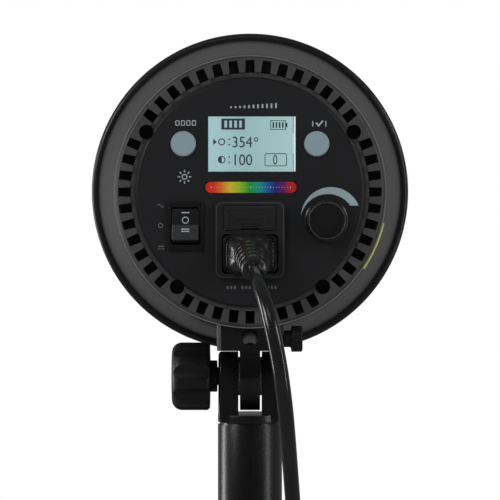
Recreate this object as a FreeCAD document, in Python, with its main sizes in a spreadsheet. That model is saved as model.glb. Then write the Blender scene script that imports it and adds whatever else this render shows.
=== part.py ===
import FreeCAD, Part
import math
import os
import Sketcher

# A round LED monolight on its tilt bracket and stand adapter, in millimetres.
#
# +Z is up, the light shines toward +Y and the control panel faces -Y. The origin is the centre of
# the mouth of the stand socket. Head pieces are drawn in the head's own axes: Y runs along the
# lamp axis from the panel's face (0) to the front, and X and Z are measured from the lamp axis.

V = FreeCAD.Vector

# ---------------------------------------------------------------- sizes

SIZES = {
    # stand adapter and tilt joint
    "adapter_radius": 14.15,
    "adapter_length": 65.0,
    "socket_radius": 8.1,
    "socket_depth": 48.0,
    "collar_groove_depth": 0.8,
    "collar_groove_width": 1.2,
    "parting_line_width": 0.5,
    "parting_line_depth": 0.3,
    "pin_rise": 20.0,
    "slot_floor_drop": 16.6,
    "clevis_half_width": 13.9,
    "ear_radius": 10.9,
    "ear_corner_radius": 3.0,
    "bolt_radius": 4.0,
    "bolt_head_radius": 6.4,
    "bolt_head_thickness": 4.0,
    "washer_radius": 8.5,
    "washer_thickness": 0.7,
    "running_clearance": 0.08,
    "face_clearance": 0.04,
    # tilt knob
    "tilt_hub_radius": 6.95,
    "tilt_hub_length": 3.2,
    "tilt_knob_radius": 15.0,
    "tilt_knob_length": 16.8,
    "tilt_knob_round": 4.5,
    "flute_depth": 1.6,
    "flute_radius": 4.2,
    "flute_count": 9,
    # stand lock
    "lock_height": 14.0,
    "lock_screw_radius": 3.0,
    "lock_knob_radius": 10.5,
    "lock_knob_length": 13.0,
    "lock_neck_length": 3.0,
    # head on its bracket
    "pin_drop": 81.2,
    "pin_depth": 38.0,
    "tongue_thickness": 8.8,
    "tongue_end_radius": 15.0,
    "bracket_width": 28.4,
    "bracket_rear": 3.0,
    "bracket_depth": 53.0,
    "bracket_bottom": 68.2,
    "bracket_chamfer": 1.8,
    "bracket_screw_radius": 2.0,
    "bracket_screw_head": 3.5,
    "bracket_screw_spacing": 19.0,
    "bracket_screw_setback": 10.0,
    "bracket_screw_length": 9.4,
    "bracket_screw_sink": 2.2,
    "pad_height": 6.0,
    "seat_clearance": 0.15,
    "umbrella_radius": 3.5,
    "umbrella_drop": 62.25,
    "umbrella_slope": 9.3,
    "wheel_radius": 5.6,
    "wheel_thickness": 5.2,
    "wheel_neck": 3.2,
    "wheel_setback": 6.0,
    "wheel_screw_radius": 2.0,
    "wheel_screw_clearance": 0.1,
    # housing
    "rear_radius": 58.4,
    "cone_radius": 69.2,
    "cone_end": 85.0,
    "wall": 2.4,
    "flange_radius": 72.5,
    "head_length": 96.0,
    "flange_round": 2.2,
    "glass_opening": 60.0,
    "diffuser_radius": 61.7,
    "diffuser_thickness": 2.5,
    "front_lip": 3.0,
    "spigot_clearance": 1.3,
    "strip_width": 3.4,
    "strip_thickness": 0.35,
    "strip_start": 103.0,
    "strip_sweep": 21.0,
    # rear cover
    "cover_thickness": 3.6,
    "cover_setback": 0.4,
    "cover_bevel": 1.8,
    "ledge_radius": 46.5,
    "vent_inner": 51.2,
    "vent_outer": 56.4,
    "vent_inner_width": 4.1,
    "vent_outer_width": 3.7,
    "vent_pitch": 7.5,
    "screw_circle": 51.2,
    "screw_well_radius": 3.15,
    "screw_well_wall": 1.2,
    "screw_well_depth": 10.0,
    "screw_well_floor": 2.0,
    "screw_radius": 1.5,
    "screw_head_radius": 2.8,
    "screw_head_height": 2.0,
    "screw_length": 12.0,
    "post_end": 30.0,
    # control panel
    "panel_radius": 49.2,
    "panel_bevel": 1.1,
    "panel_thickness": 2.5,
    "lcd_width": 37.5,
    "lcd_height": 23.7,
    "lcd_x": 0.8,
    "lcd_z": 20.5,
    "lcd_setback": 0.3,
    "lcd_module_width": 42.0,
    "lcd_module_height": 28.0,
    "lcd_module_thickness": 4.6,
    "inlay_clearance": 0.1,
    "button_radius": 5.4,
    "button_x": 28.5,
    "button_z": 20.6,
    "button_proud": 1.0,
    "button_clearance": 0.3,
    "button_travel": 0.8,
    "button_flange": 1.0,
    "button_flange_radius": 6.4,
    "strip_label_width": 39.0,
    "strip_label_height": 4.9,
    "strip_label_depth": 0.6,
    "strip_label_x": 0.4,
    "strip_label_z": 2.0,
    "board_depth": 9.0,
    "board_thickness": 1.6,
    "board_width": 70.0,
    "board_height": 24.0,
    "board_post_radius": 2.2,
    # dimmer
    "dimmer_x": 32.6,
    "dimmer_z": -12.1,
    "dimmer_radius": 8.6,
    "dimmer_skirt_radius": 9.4,
    "dimmer_skirt_height": 2.0,
    "dimmer_height": 12.5,
    "dimmer_gap": 0.5,
    "dimmer_shaft_radius": 3.0,
    "dimmer_body_radius": 8.0,
    "dimmer_body_length": 9.0,
    "dimmer_bush_radius": 4.6,
    # rocker switch
    "rocker_x": -27.6,
    "rocker_z": -14.5,
    "switch_width": 15.3,
    "switch_height": 20.9,
    "switch_proud": 1.5,
    "switch_border": 1.05,
    "switch_depth": 14.0,
    "rocker_width": 11.5,
    "rocker_radius": 7.5,
    "rocker_side_gap": 0.25,
    "rocker_end_gap": 0.4,
    "rocker_pivot": 0.8,
    "rocker_throw": 12.0,
    # mains inlet
    "inlet_z": -20.4,
    "inlet_width": 30.0,
    "inlet_height": 33.1,
    "inlet_proud": 2.6,
    "inlet_corner": 3.0,
    "inlet_border": 1.6,
    "inlet_depth": 28.5,
    "socket_width": 24.4,
    "socket_height": 17.2,
    "socket_z": -26.4,
    "socket_bottom": 17.0,
    "plug_clearance": 0.3,
    "connector_width": 20.2,
    "connector_height": 16.9,
    "connector_length": 21.0,
    "drawer_width": 22.0,
    "drawer_height": 10.4,
    "drawer_z": -11.0,
    "drawer_depth": 26.5,
    "drawer_clearance": 0.2,
    "drawer_wall": 1.5,
    "drawer_floor": 2.0,
    "fuse_radius": 2.5,
    "fuse_length": 20.0,
    "pin_width": 4.0,
    "pin_thickness": 2.0,
    "pin_length": 15.0,
    "pin_spacing": 14.0,
    # inside the head
    "fan_size": 80.0,
    "fan_start": 42.5,
    "fan_thickness": 15.0,
    "fan_bore": 37.5,
    "fan_rotor_radius": 36.0,
    "fan_hub_radius": 16.0,
    "fin_start": 58.0,
    "fin_thickness": 1.6,
    "fin_pitch": 8.0,
    "fin_inset": 7.0,
    "sink_start": 73.0,
    "sink_thickness": 5.0,
    "sink_radius": 64.4,
    "led_board_radius": 59.0,
    "led_board_thickness": 1.6,
    "led_size": 3.5,
    "led_height": 0.8,
    "led_pitch": 11.0,
    # mains lead
    "cord_radius": 3.15,
    "boot_radius": 5.4,
    "boot_flare": 1.2,
    "boot_rib_height": 1.0,
    "boot_wall": 0.8,
    "connector_round": 4.0,
    "coil_radius": 37.5,
    "coil_section": 9.8,
    "tie_sweep": 32.0,
    "tie_thickness": 1.3,
    "tie_clearance": 0.1,
    "plug_radius": 18.5,
    "plug_length": 42.0,
    "plug_neck_length": 14.0,
    "plug_neck_flare": 3.0,
    "plug_waist_radius": 11.0,
    "plug_waist_start": 17.0,
    "plug_grip_radius": 13.0,
    "plug_grip_end": 26.0,
    "plug_face_start": 30.0,
    "plug_pin_radius": 2.4,
    "plug_pin_length": 19.0,
    "plug_pin_spacing": 19.0,
}

# Angle of each cover screw from the top of the panel, and the first vent and number of vents in
# each stretch between two screws.
COVER_SCREWS = (60.0, 142.5, 217.5, 300.0)
VENT_RUNS = ((-7, 15), (9, 10), (20, 9), (30, 10))

doc = FreeCAD.newDocument("LedMonolight")
sheet = doc.addObject("Spreadsheet::Sheet", "Sizes")
for row, (alias, number) in enumerate(SIZES.items(), start=1):
    sheet.set(f"A{row}", alias)
    sheet.set(f"B{row}", str(number))
    sheet.setAlias(f"B{row}", alias)
doc.recompute()


class Size:
    """A number together with the sheet formula that gives it."""

    def __init__(self, text, value):
        self.text = text
        self.value = float(value)

    def __add__(self, other):
        other = as_size(other)
        return Size(f"({self.text} + {other.text})", self.value + other.value)

    def __sub__(self, other):
        other = as_size(other)
        return Size(f"({self.text} - {other.text})", self.value - other.value)

    def __mul__(self, other):
        other = as_size(other)
        return Size(f"({self.text} * {other.text})", self.value * other.value)

    def __truediv__(self, other):
        other = as_size(other)
        return Size(f"({self.text} / {other.text})", self.value / other.value)

    def __radd__(self, other):
        return as_size(other) + self

    def __rsub__(self, other):
        return as_size(other) - self

    def __rmul__(self, other):
        return as_size(other) * self

    def __neg__(self):
        return Size(f"(0 - {self.text})", -self.value)


def as_size(value):
    """A plain number as a Size, or the Size itself."""
    return value if isinstance(value, Size) else Size(repr(float(value)), value)


class Sheet:
    """The sheet's cells by name."""

    def __getattr__(self, alias):
        return Size(f"Sizes.{alias}", sheet.get(alias))


s = Sheet()

# ---------------------------------------------------------------- drawing helpers

nodes = []
UP = FreeCAD.Rotation(V(1, 0, 0), 90)
RIGHT = FreeCAD.Rotation(V(0, 0, 1), -90)
LEFT = FreeCAD.Rotation(V(0, 0, 1), 90)
FRONT = FreeCAD.Rotation()


def bind(item, name, value):
    """Tie one property of an object to the sheet."""
    item.setExpression(name, as_size(value).text)


def place(item, x=0, y=0, z=0, turn=FRONT):
    """Put a sub-part at x, y, z with its own Y axis turned as given."""
    item.Placement = FreeCAD.Placement(V(as_size(x).value, as_size(y).value, as_size(z).value), turn)
    if isinstance(turn, FreeCAD.Rotation):
        bind(item, "Placement.Base.x", x)
        bind(item, "Placement.Base.y", y)
        bind(item, "Placement.Base.z", z)


def in_head(item, x=0, y=0, z=0, turn=FRONT):
    """Put a sub-part at x, y, z in the head's axes."""
    place(item, x, y - s.pin_depth, z + s.adapter_length + s.pin_rise + s.pin_drop, turn)


def new_body(label):
    """An empty body that becomes the node called label."""
    body = doc.addObject("PartDesign::Body", label)
    body.Label = label
    body.AllowCompound = True
    nodes.append(body)
    return body


def sketch_on(body, role, offset=0, turn=0.0):
    """A sketch on one of the body's origin planes, moved along its normal and turned in it."""
    plane = next(feature for feature in body.Origin.OriginFeatures if feature.Role == role)
    sketch = body.newObject("Sketcher::SketchObject", f"{body.Label}_sketch")
    sketch.AttachmentSupport = [(plane, "")]
    sketch.MapMode = "FlatFace"
    spin = FreeCAD.Rotation(V(0, 0, 1), turn)
    sketch.AttachmentOffset = FreeCAD.Placement(V(0, 0, as_size(offset).value), spin)
    bind(sketch, "AttachmentOffset.Base.z", offset)
    return sketch


def fix_point(sketch, geometry, end, x, y):
    """Dimension one point of the sketch from its origin."""
    for kind, value in (("DistanceX", x), ("DistanceY", y)):
        value = as_size(value)
        index = sketch.addConstraint(Sketcher.Constraint(kind, -1, 1, geometry, end, value.value))
        sketch.setExpression(f"Constraints[{index}]", value.text)


def polygon(sketch, corners):
    """A closed outline of straight lines through dimensioned corners."""
    first = sketch.GeometryCount
    count = len(corners)
    spots = [V(as_size(x).value, as_size(y).value, 0) for x, y in corners]
    lines = [Part.LineSegment(spots[i], spots[(i + 1) % count]) for i in range(count)]
    sketch.addGeometry(lines, False)
    joins = [Sketcher.Constraint("Coincident", first + i, 2, first + (i + 1) % count, 1)
             for i in range(count)]
    sketch.addConstraint(joins)
    for i, (x, y) in enumerate(corners):
        fix_point(sketch, first + i, 1, x, y)
    return sketch


def box_outline(sketch, x, y, width, height):
    """A rectangle about x, y."""
    left, right = x - width / 2, x + width / 2
    low, high = y - height / 2, y + height / 2
    return polygon(sketch, [(left, low), (right, low), (right, high), (left, high)])


def circle(sketch, x, y, radius):
    """A dimensioned circle."""
    radius = as_size(radius)
    centre = V(as_size(x).value, as_size(y).value, 0)
    index = sketch.addGeometry(Part.Circle(centre, V(0, 0, 1), radius.value), False)
    fix_point(sketch, index, 3, x, y)
    size_index = sketch.addConstraint(Sketcher.Constraint("Radius", index, radius.value))
    sketch.setExpression(f"Constraints[{size_index}]", radius.text)
    return sketch


def slab_sketch(body, role, at, turn=0.0):
    """A sketch at a height along +X, +Y or +Z; the XZ plane's own normal is -Y."""
    return sketch_on(body, role, -as_size(at) if role == "XZ_Plane" else at, turn)


def add_slab(body, role, start, end, draw, turn=0.0):
    """Add material between two heights along the plane's world axis."""
    start, end = as_size(start), as_size(end)
    sketch = slab_sketch(body, role, end if role == "XZ_Plane" else start, turn)
    draw(sketch)
    pad = body.newObject("PartDesign::Pad", f"{body.Label}_pad")
    pad.Profile = sketch
    bind(pad, "Length", end - start)
    return pad


def cut_slab(body, role, start, end, draw, turn=0.0):
    """Take material away between two heights along the plane's world axis."""
    start, end = as_size(start), as_size(end)
    sketch = slab_sketch(body, role, start if role == "XZ_Plane" else end, turn)
    draw(sketch)
    pocket = body.newObject("PartDesign::Pocket", f"{body.Label}_pocket")
    pocket.Profile = sketch
    bind(pocket, "Length", end - start)
    return pocket


def add_turned(body, profile, angle=360.0):
    """Turn a profile of (radius, along) corners about the body's Y axis."""
    sketch = polygon(sketch_on(body, "XY_Plane"), profile)
    feature = body.newObject("PartDesign::Revolution", f"{body.Label}_turned")
    feature.Profile = sketch
    feature.ReferenceAxis = (sketch, ["V_Axis"])
    bind(feature, "Angle", angle)
    return feature


def cut_turned(body, profile):
    """Turn a profile about the body's Y axis and take it away."""
    sketch = polygon(sketch_on(body, "XY_Plane"), profile)
    feature = body.newObject("PartDesign::Groove", f"{body.Label}_groove")
    feature.Profile = sketch
    feature.ReferenceAxis = (sketch, ["V_Axis"])
    feature.Angle = 360.0
    return feature


def around(body, feature, count, step):
    """Repeat a feature about the body's Y axis, step degrees apart."""
    pattern = body.newObject("PartDesign::PolarPattern", f"{body.Label}_polar")
    pattern.Originals = [feature]
    axis = next(item for item in body.Origin.OriginFeatures if item.Role == "Y_Axis")
    pattern.Axis = (axis, [""])
    pattern.Angle = as_size(step).value * (count - 1)
    pattern.Occurrences = count
    body.Tip = pattern
    return pattern


def all_around(body, feature, count):
    """Repeat a feature evenly round the full circle."""
    return around(body, feature, count, 360.0 / count * (count / (count - 1)))


def edges_where(shape, test):
    """Names of the edges that a test picks."""
    return [f"Edge{i}" for i, edge in enumerate(shape.Edges, start=1) if test(edge)]


def runs_along(axis):
    """Test: the edge is a straight line along an axis."""
    def test(edge):
        if edge.Curve.TypeId != "Part::GeomLine":
            return False
        direction = edge.tangentAt(edge.FirstParameter)
        return abs(abs(direction.dot(axis)) - 1) < 1e-6
    return test


def rings_at(radius, along):
    """Test: the edge is a full circle of a radius at a height along the body's Y axis."""
    def test(edge):
        if edge.Curve.TypeId != "Part::GeomCircle":
            return False
        near_radius = abs(edge.Curve.Radius - as_size(radius).value) < 1e-3
        return near_radius and abs(edge.Curve.Center.y - as_size(along).value) < 1e-3
    return test


def round_edges(body, test, radius, kind="Fillet"):
    """Fillet or chamfer the edges of the body's tip that a test picks."""
    doc.recompute()
    base = body.Tip
    names = edges_where(base.Shape, test)
    if not names:
        raise RuntimeError(f"{body.Label}: no edge to round")
    feature = body.newObject(f"PartDesign::{kind}", f"{body.Label}_{kind.lower()}")
    feature.Base = (base, names)
    bind(feature, "Radius" if kind == "Fillet" else "Size", radius)
    return feature


def rod(body, radius, start, end):
    """A plain cylinder along the body's Y axis."""
    return add_turned(body, [(0, start), (radius, start), (radius, end), (0, end)])


def solid_node(label, shape):
    """A node whose shape is computed from the sheet's values."""
    item = doc.addObject("Part::Feature", label)
    item.Label = label
    item.Shape = shape
    nodes.append(item)
    return item


# Places that several pieces share.
head_height = s.adapter_length + s.pin_rise + s.pin_drop
pin_height = s.adapter_length + s.pin_rise
cone_slope = (s.cone_radius - s.rear_radius) / (s.cone_end - s.cover_thickness)
bracket_front = s.bracket_rear + s.bracket_depth
bracket_screw_depth = s.pin_depth + s.bracket_screw_setback


def cone_at(along):
    """The housing's outer radius at a distance in front of the panel face."""
    return s.rear_radius + cone_slope * (as_size(along) - s.cover_thickness)


def screw_spot(angle):
    """Where a cover screw at an angle from the top stands, as x and z in the head's axes."""
    turn = math.radians(angle)
    return s.screw_circle * math.sin(turn), s.screw_circle * math.cos(turn)


# ---------------------------------------------------------------- housing and covers

def build_housing():
    """Tapered shell with a screw post for each cover screw and a pad over the bracket."""
    body = new_body("housing")
    inner_rear = s.rear_radius - s.wall
    add_turned(body, [
        (inner_rear, s.cover_thickness), (s.rear_radius, s.cover_thickness),
        (s.cone_radius, s.cone_end), (s.cone_radius - s.wall, s.cone_end)])
    post_start = s.cover_setback + s.screw_well_depth + s.screw_well_floor
    post_radius = s.screw_well_radius + s.screw_well_wall
    for angle in COVER_SCREWS:
        def draw_post(sketch):
            box_outline(sketch, 0, s.screw_circle + 3, post_radius * 1.6, post_radius * 2)
        add_slab(body, "XZ_Plane", post_start, s.post_end, draw_post, turn=-angle)
    for angle in COVER_SCREWS:
        x, z = screw_spot(angle)

        def draw_pilot(sketch):
            circle(sketch, x, z, s.screw_radius + s.running_clearance)
        cut_slab(body, "XZ_Plane", post_start - 1, post_start + s.screw_length, draw_pilot)

    pad_top, pad_bottom = s.rear_radius - s.pad_height, s.cone_radius
    pad_width = s.bracket_screw_spacing + 4 * s.bracket_screw_radius

    def draw_pad(sketch):
        box_outline(sketch, 0, -(pad_top + pad_bottom) / 2, pad_width, pad_bottom - pad_top)
    middle, reach = bracket_screw_depth, s.pad_height
    add_slab(body, "XZ_Plane", middle - reach, middle + reach, draw_pad)
    cut_turned(body, [
        (s.rear_radius, s.cover_thickness), (s.flange_radius * 2, s.cover_thickness),
        (s.flange_radius * 2, s.cone_end), (s.cone_radius, s.cone_end)])
    for side in (-1, 1):
        def draw_tap(sketch):
            circle(sketch, side * s.bracket_screw_spacing / 2, bracket_screw_depth,
                   s.bracket_screw_radius + s.running_clearance)
        cut_slab(body, "XY_Plane", -s.bracket_bottom, -(pad_top + 1), draw_tap)
    in_head(body)


def build_rear_cover():
    """Vented ring that carries the control panel on its inner ledge."""
    body = new_body("rear_cover")
    face = s.cover_setback
    ledge = s.panel_thickness
    skirt = s.rear_radius - s.wall - s.inlay_clearance
    add_turned(body, [
        (s.ledge_radius, ledge), (s.vent_inner, ledge), (s.vent_inner, face),
        (s.rear_radius - s.cover_bevel, face), (s.rear_radius, face + s.cover_bevel),
        (s.rear_radius, s.cover_thickness), (skirt, s.cover_thickness),
        (skirt, s.cover_thickness + 0.6), (s.ledge_radius, s.cover_thickness + 0.6)])
    well_end = face + s.screw_well_depth + s.screw_well_floor
    for angle in COVER_SCREWS:
        x, z = screw_spot(angle)

        def draw_well(sketch):
            circle(sketch, x, z, s.screw_well_radius + s.screw_well_wall)
        add_slab(body, "XZ_Plane", ledge, well_end, draw_well)

        def draw_bore(sketch):
            circle(sketch, x, z, s.screw_well_radius)
        cut_slab(body, "XZ_Plane", face - 1, face + s.screw_well_depth, draw_bore)

        def draw_hole(sketch):
            circle(sketch, x, z, s.screw_radius + s.button_clearance)
        cut_slab(body, "XZ_Plane", face, well_end + 1, draw_hole)
    half_in, half_out = s.vent_inner_width / 2, s.vent_outer_width / 2
    for first, count in VENT_RUNS:
        def draw_vent(sketch):
            polygon(sketch, [(-half_in, s.vent_inner - 0.2), (half_in, s.vent_inner - 0.2),
                             (half_out, s.vent_outer), (-half_out, s.vent_outer)])
        vent = cut_slab(body, "XZ_Plane", face - 1, s.cover_thickness + 2, draw_vent,
                        turn=-first * SIZES["vent_pitch"])
        around(body, vent, count, s.vent_pitch)
    in_head(body)


def build_cover_screws():
    """One pan-head screw at the bottom of each screw well."""
    seat = s.cover_setback + s.screw_well_depth
    for number, angle in enumerate(COVER_SCREWS, start=1):
        body = new_body(f"cover_screw_{number}")
        add_turned(body, [
            (0, seat - s.screw_head_height), (s.screw_head_radius, seat - s.screw_head_height),
            (s.screw_head_radius, seat), (s.screw_radius, seat),
            (s.screw_radius, seat + s.screw_length), (0, seat + s.screw_length)])
        slot_top = seat - s.screw_head_height

        def draw_cross(sketch):
            box_outline(sketch, 0, 0, s.screw_head_radius * 1.3, 0.7)
        for turn in (0.0, 90.0):
            cut_slab(body, "XZ_Plane", slot_top - 1, slot_top + 0.9, draw_cross, turn=turn + 20)
        x, z = screw_spot(angle)
        in_head(body, x, 0, z)


def build_front():
    """Front bezel, diffuser and the white reflector behind it."""
    bezel = new_body("front_bezel")
    outer = s.flange_radius
    spigot = s.cone_radius - s.wall - s.spigot_clearance
    seat = s.diffuser_radius + s.button_clearance
    add_turned(bezel, [
        (outer, s.cone_end), (outer, s.head_length), (s.glass_opening + 2, s.head_length),
        (s.glass_opening, s.head_length - s.front_lip), (seat, s.head_length - s.front_lip),
        (seat, s.cone_end - 5), (spigot, s.cone_end - 5), (spigot, s.cone_end)])
    round_edges(bezel, rings_at(outer, s.cone_end), s.flange_round)
    round_edges(bezel, rings_at(outer, s.head_length), s.flange_round)
    in_head(bezel)

    diffuser = new_body("diffuser")
    front = s.head_length - s.front_lip - s.face_clearance
    rod(diffuser, s.diffuser_radius, front - s.diffuser_thickness, front)
    in_head(diffuser)

    reflector = new_body("reflector")
    start = s.sink_start + s.sink_thickness + s.led_board_thickness + s.face_clearance
    end = front - s.diffuser_thickness - s.face_clearance
    add_turned(reflector, [
        (s.led_board_radius - 9, start), (s.led_board_radius - 7.5, start),
        (s.diffuser_radius - 0.4, end), (s.diffuser_radius - 1.9, end)])
    in_head(reflector)


def build_accent_strip():
    """Yellow strip on the side of the shell, just in front of the rear cover."""
    body = new_body("accent_strip")
    start = s.cover_thickness + 0.6
    end = start + s.strip_width
    lift = s.face_clearance
    add_turned(body, [
        (cone_at(start) + lift, start), (cone_at(start) + lift + s.strip_thickness, start),
        (cone_at(end) + lift + s.strip_thickness, end), (cone_at(end) + lift, end)], s.strip_sweep)
    in_head(body, turn=FreeCAD.Rotation(V(0, 1, 0), SIZES["strip_start"] - 90.0))


# ---------------------------------------------------------------- light engine and cooling

def build_light_engine():
    """LED board with its chips, on the heat sink."""
    sink = new_body("heat_sink")
    rod(sink, s.sink_radius, s.sink_start, s.sink_start + s.sink_thickness)
    reach = 6
    for number in range(-reach, reach + 1):
        def draw_fin(sketch):
            box_outline(sketch, number * s.fin_pitch, 0, s.fin_thickness, s.sink_radius * 2)
        add_slab(sink, "XZ_Plane", s.fin_start, s.sink_start + 1, draw_fin)
    fin_reach = s.sink_radius - s.fin_inset
    cut_turned(sink, [
        (fin_reach, s.fin_start - 1), (s.sink_radius * 2, s.fin_start - 1),
        (s.sink_radius * 2, s.sink_start + 2), (s.sink_radius, s.sink_start + 2),
        (s.sink_radius, s.sink_start), (fin_reach, s.sink_start)])
    in_head(sink)

    board = new_body("led_board")
    start = s.sink_start + s.sink_thickness
    rod(board, s.led_board_radius, start, start + s.led_board_thickness)
    in_head(board)

    face = (start + s.led_board_thickness).value
    pitch, side, height = s.led_pitch.value, s.led_size.value, s.led_height.value
    limit = s.led_board_radius.value - 12.0
    chips = []
    for row in range(-4, 5):
        for column in range(-5, 6):
            x = (column + 0.5 * (row % 2)) * pitch
            z = row * pitch * math.sqrt(3) / 2
            if math.hypot(x, z) < limit:
                chips.append(Part.makeBox(side, height, side, V(x - side / 2, face, z - side / 2)))
    in_head(solid_node("led_chips", Part.makeCompound(chips)))


def build_fan():
    """Square fan frame with three struts, and its bladed rotor."""
    frame = new_body("fan_frame")
    start, end = s.fan_start, s.fan_start + s.fan_thickness

    def draw_square(sketch):
        box_outline(sketch, 0, 0, s.fan_size, s.fan_size)
        circle(sketch, 0, 0, s.fan_bore)
    add_slab(frame, "XZ_Plane", start, end, draw_square)

    def draw_strut(sketch):
        box_outline(sketch, 0, s.fan_bore / 2 + 1, 3, s.fan_bore)
    strut = add_slab(frame, "XZ_Plane", end - 2, end, draw_strut)
    all_around(frame, strut, 3)

    def draw_base(sketch):
        circle(sketch, 0, 0, s.fan_hub_radius)
    add_slab(frame, "XZ_Plane", end - 2, end, draw_base)
    in_head(frame)

    rotor = new_body("fan_rotor")
    rod(rotor, s.fan_hub_radius, start + 1, end - 2.4)

    def draw_blade(sketch):
        polygon(sketch, [(start + 2, -8), (start + 3.4, -8), (end - 3, 8), (end - 4.4, 8)])
    blade = add_slab(rotor, "YZ_Plane", s.fan_hub_radius - 3, s.fan_rotor_radius, draw_blade)
    all_around(rotor, blade, 7)
    in_head(rotor)


def build_power_board():
    """Mains board that rests on the ends of the screw posts."""
    body = new_body("power_board")
    face = s.post_end + s.face_clearance
    spots = [screw_spot(angle) for angle in COVER_SCREWS]

    def draw_board(sketch):
        polygon(sketch, spots)
    add_slab(body, "XZ_Plane", face, face + s.board_thickness, draw_board)
    for x, z, width, height, tall in ((-12, -14, 22, 18, 8.5), (14, -12, 14, 20, 7.0), (2, 12, 40, 10, 6.0)):
        def draw_component(sketch):
            box_outline(sketch, x, z, width, height)
        top = face + s.board_thickness
        add_slab(body, "XZ_Plane", top - 0.2, top + tall, draw_component)
    in_head(body)


# ---------------------------------------------------------------- control panel

def build_control_panel():
    """Round panel with its cutouts."""
    body = new_body("control_panel")
    thick = s.panel_thickness
    add_turned(body, [
        (0, 0), (s.panel_radius - s.panel_bevel, 0), (s.panel_radius, s.panel_bevel),
        (s.panel_radius, thick), (0, thick)])

    def draw_rectangles(sketch):
        box_outline(sketch, s.lcd_x, s.lcd_z, s.lcd_width, s.lcd_height)
        box_outline(sketch, s.rocker_x, s.rocker_z, s.switch_width - s.switch_border,
                    s.switch_height - s.switch_border)
        box_outline(sketch, 0, s.inlet_z, s.inlet_width - s.inlet_border, s.inlet_height - s.inlet_border)
    cut_slab(body, "XZ_Plane", -1, thick + 1, draw_rectangles)

    def draw_rounds(sketch):
        for side in (-1, 1):
            circle(sketch, side * s.button_x, s.button_z, s.button_radius + s.button_clearance)
        circle(sketch, s.dimmer_x, s.dimmer_z, s.dimmer_bush_radius + s.inlay_clearance)
    cut_slab(body, "XZ_Plane", -1, thick + 1, draw_rounds)

    for angle in COVER_SCREWS:
        x, z = screw_spot(angle)

        def draw_notch(sketch):
            circle(sketch, x, z, s.screw_well_radius)
        cut_slab(body, "XZ_Plane", -1, thick + 1, draw_notch)

    def draw_inlay(sketch):
        strip_outline(sketch, 0)
    cut_slab(body, "XZ_Plane", -1, s.strip_label_depth, draw_inlay)
    in_head(body)


def strip_outline(sketch, gap):
    """The hue strip's outline, drawn in by a gap on each side."""
    box_outline(sketch, s.strip_label_x, s.strip_label_z, s.strip_label_width - 2 * gap,
                s.strip_label_height - 2 * gap)


def build_hue_strip():
    """Printed colour bar let into the panel."""
    body = new_body("hue_strip")

    def draw_bar(sketch):
        strip_outline(sketch, s.inlay_clearance)
    add_slab(body, "XZ_Plane", 0.05, s.strip_label_depth, draw_bar)
    round_edges(body, runs_along(V(0, 1, 0)), s.strip_label_height / 2 - 0.3)
    in_head(body)


def build_display():
    """LCD window, the module behind it and the control board on its posts."""
    window = new_body("lcd_window")

    def draw_window(sketch):
        gap = s.inlay_clearance * 2
        box_outline(sketch, s.lcd_x, s.lcd_z, s.lcd_width - gap, s.lcd_height - gap)
    add_slab(window, "XZ_Plane", s.lcd_setback, s.panel_thickness, draw_window)
    in_head(window)

    module = new_body("lcd_module")
    start = s.panel_thickness + s.face_clearance

    def draw_module(sketch):
        box_outline(sketch, s.lcd_x, s.lcd_z, s.lcd_module_width, s.lcd_module_height)
    add_slab(module, "XZ_Plane", start, start + s.lcd_module_thickness, draw_module)
    in_head(module)

    board = new_body("control_board")

    def draw_board(sketch):
        box_outline(sketch, 0, s.lcd_z, s.board_width, s.board_height)
    add_slab(board, "XZ_Plane", s.board_depth, s.board_depth + s.board_thickness, draw_board)

    def draw_posts(sketch):
        for side in (-1, 1):
            for level in (-1, 1):
                circle(sketch, side * (s.board_width / 2 - 3), s.lcd_z + level * (s.board_height / 2 - 3),
                       s.board_post_radius)
    add_slab(board, "XZ_Plane", s.panel_thickness, s.board_depth, draw_posts)

    def draw_switches(sketch):
        for side in (-1, 1):
            circle(sketch, side * s.button_x, s.button_z, s.button_radius / 2)
    switch_face = s.panel_thickness + s.face_clearance + s.button_flange + s.button_travel + 0.2
    add_slab(board, "XZ_Plane", switch_face, s.board_depth, draw_switches)
    in_head(board)


def build_buttons():
    """Two push buttons, kept in by a flange behind the panel."""
    for label, side in (("mode_button", -1), ("set_button", 1)):
        body = new_body(label)
        back = s.panel_thickness + s.face_clearance
        add_turned(body, [
            (0, -s.button_proud), (s.button_radius - 0.5, -s.button_proud),
            (s.button_radius, 0.5 - s.button_proud), (s.button_radius, back),
            (s.button_flange_radius, back), (s.button_flange_radius, back + s.button_flange),
            (0, back + s.button_flange)])
        in_head(body, side * s.button_x, 0, s.button_z)


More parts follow.
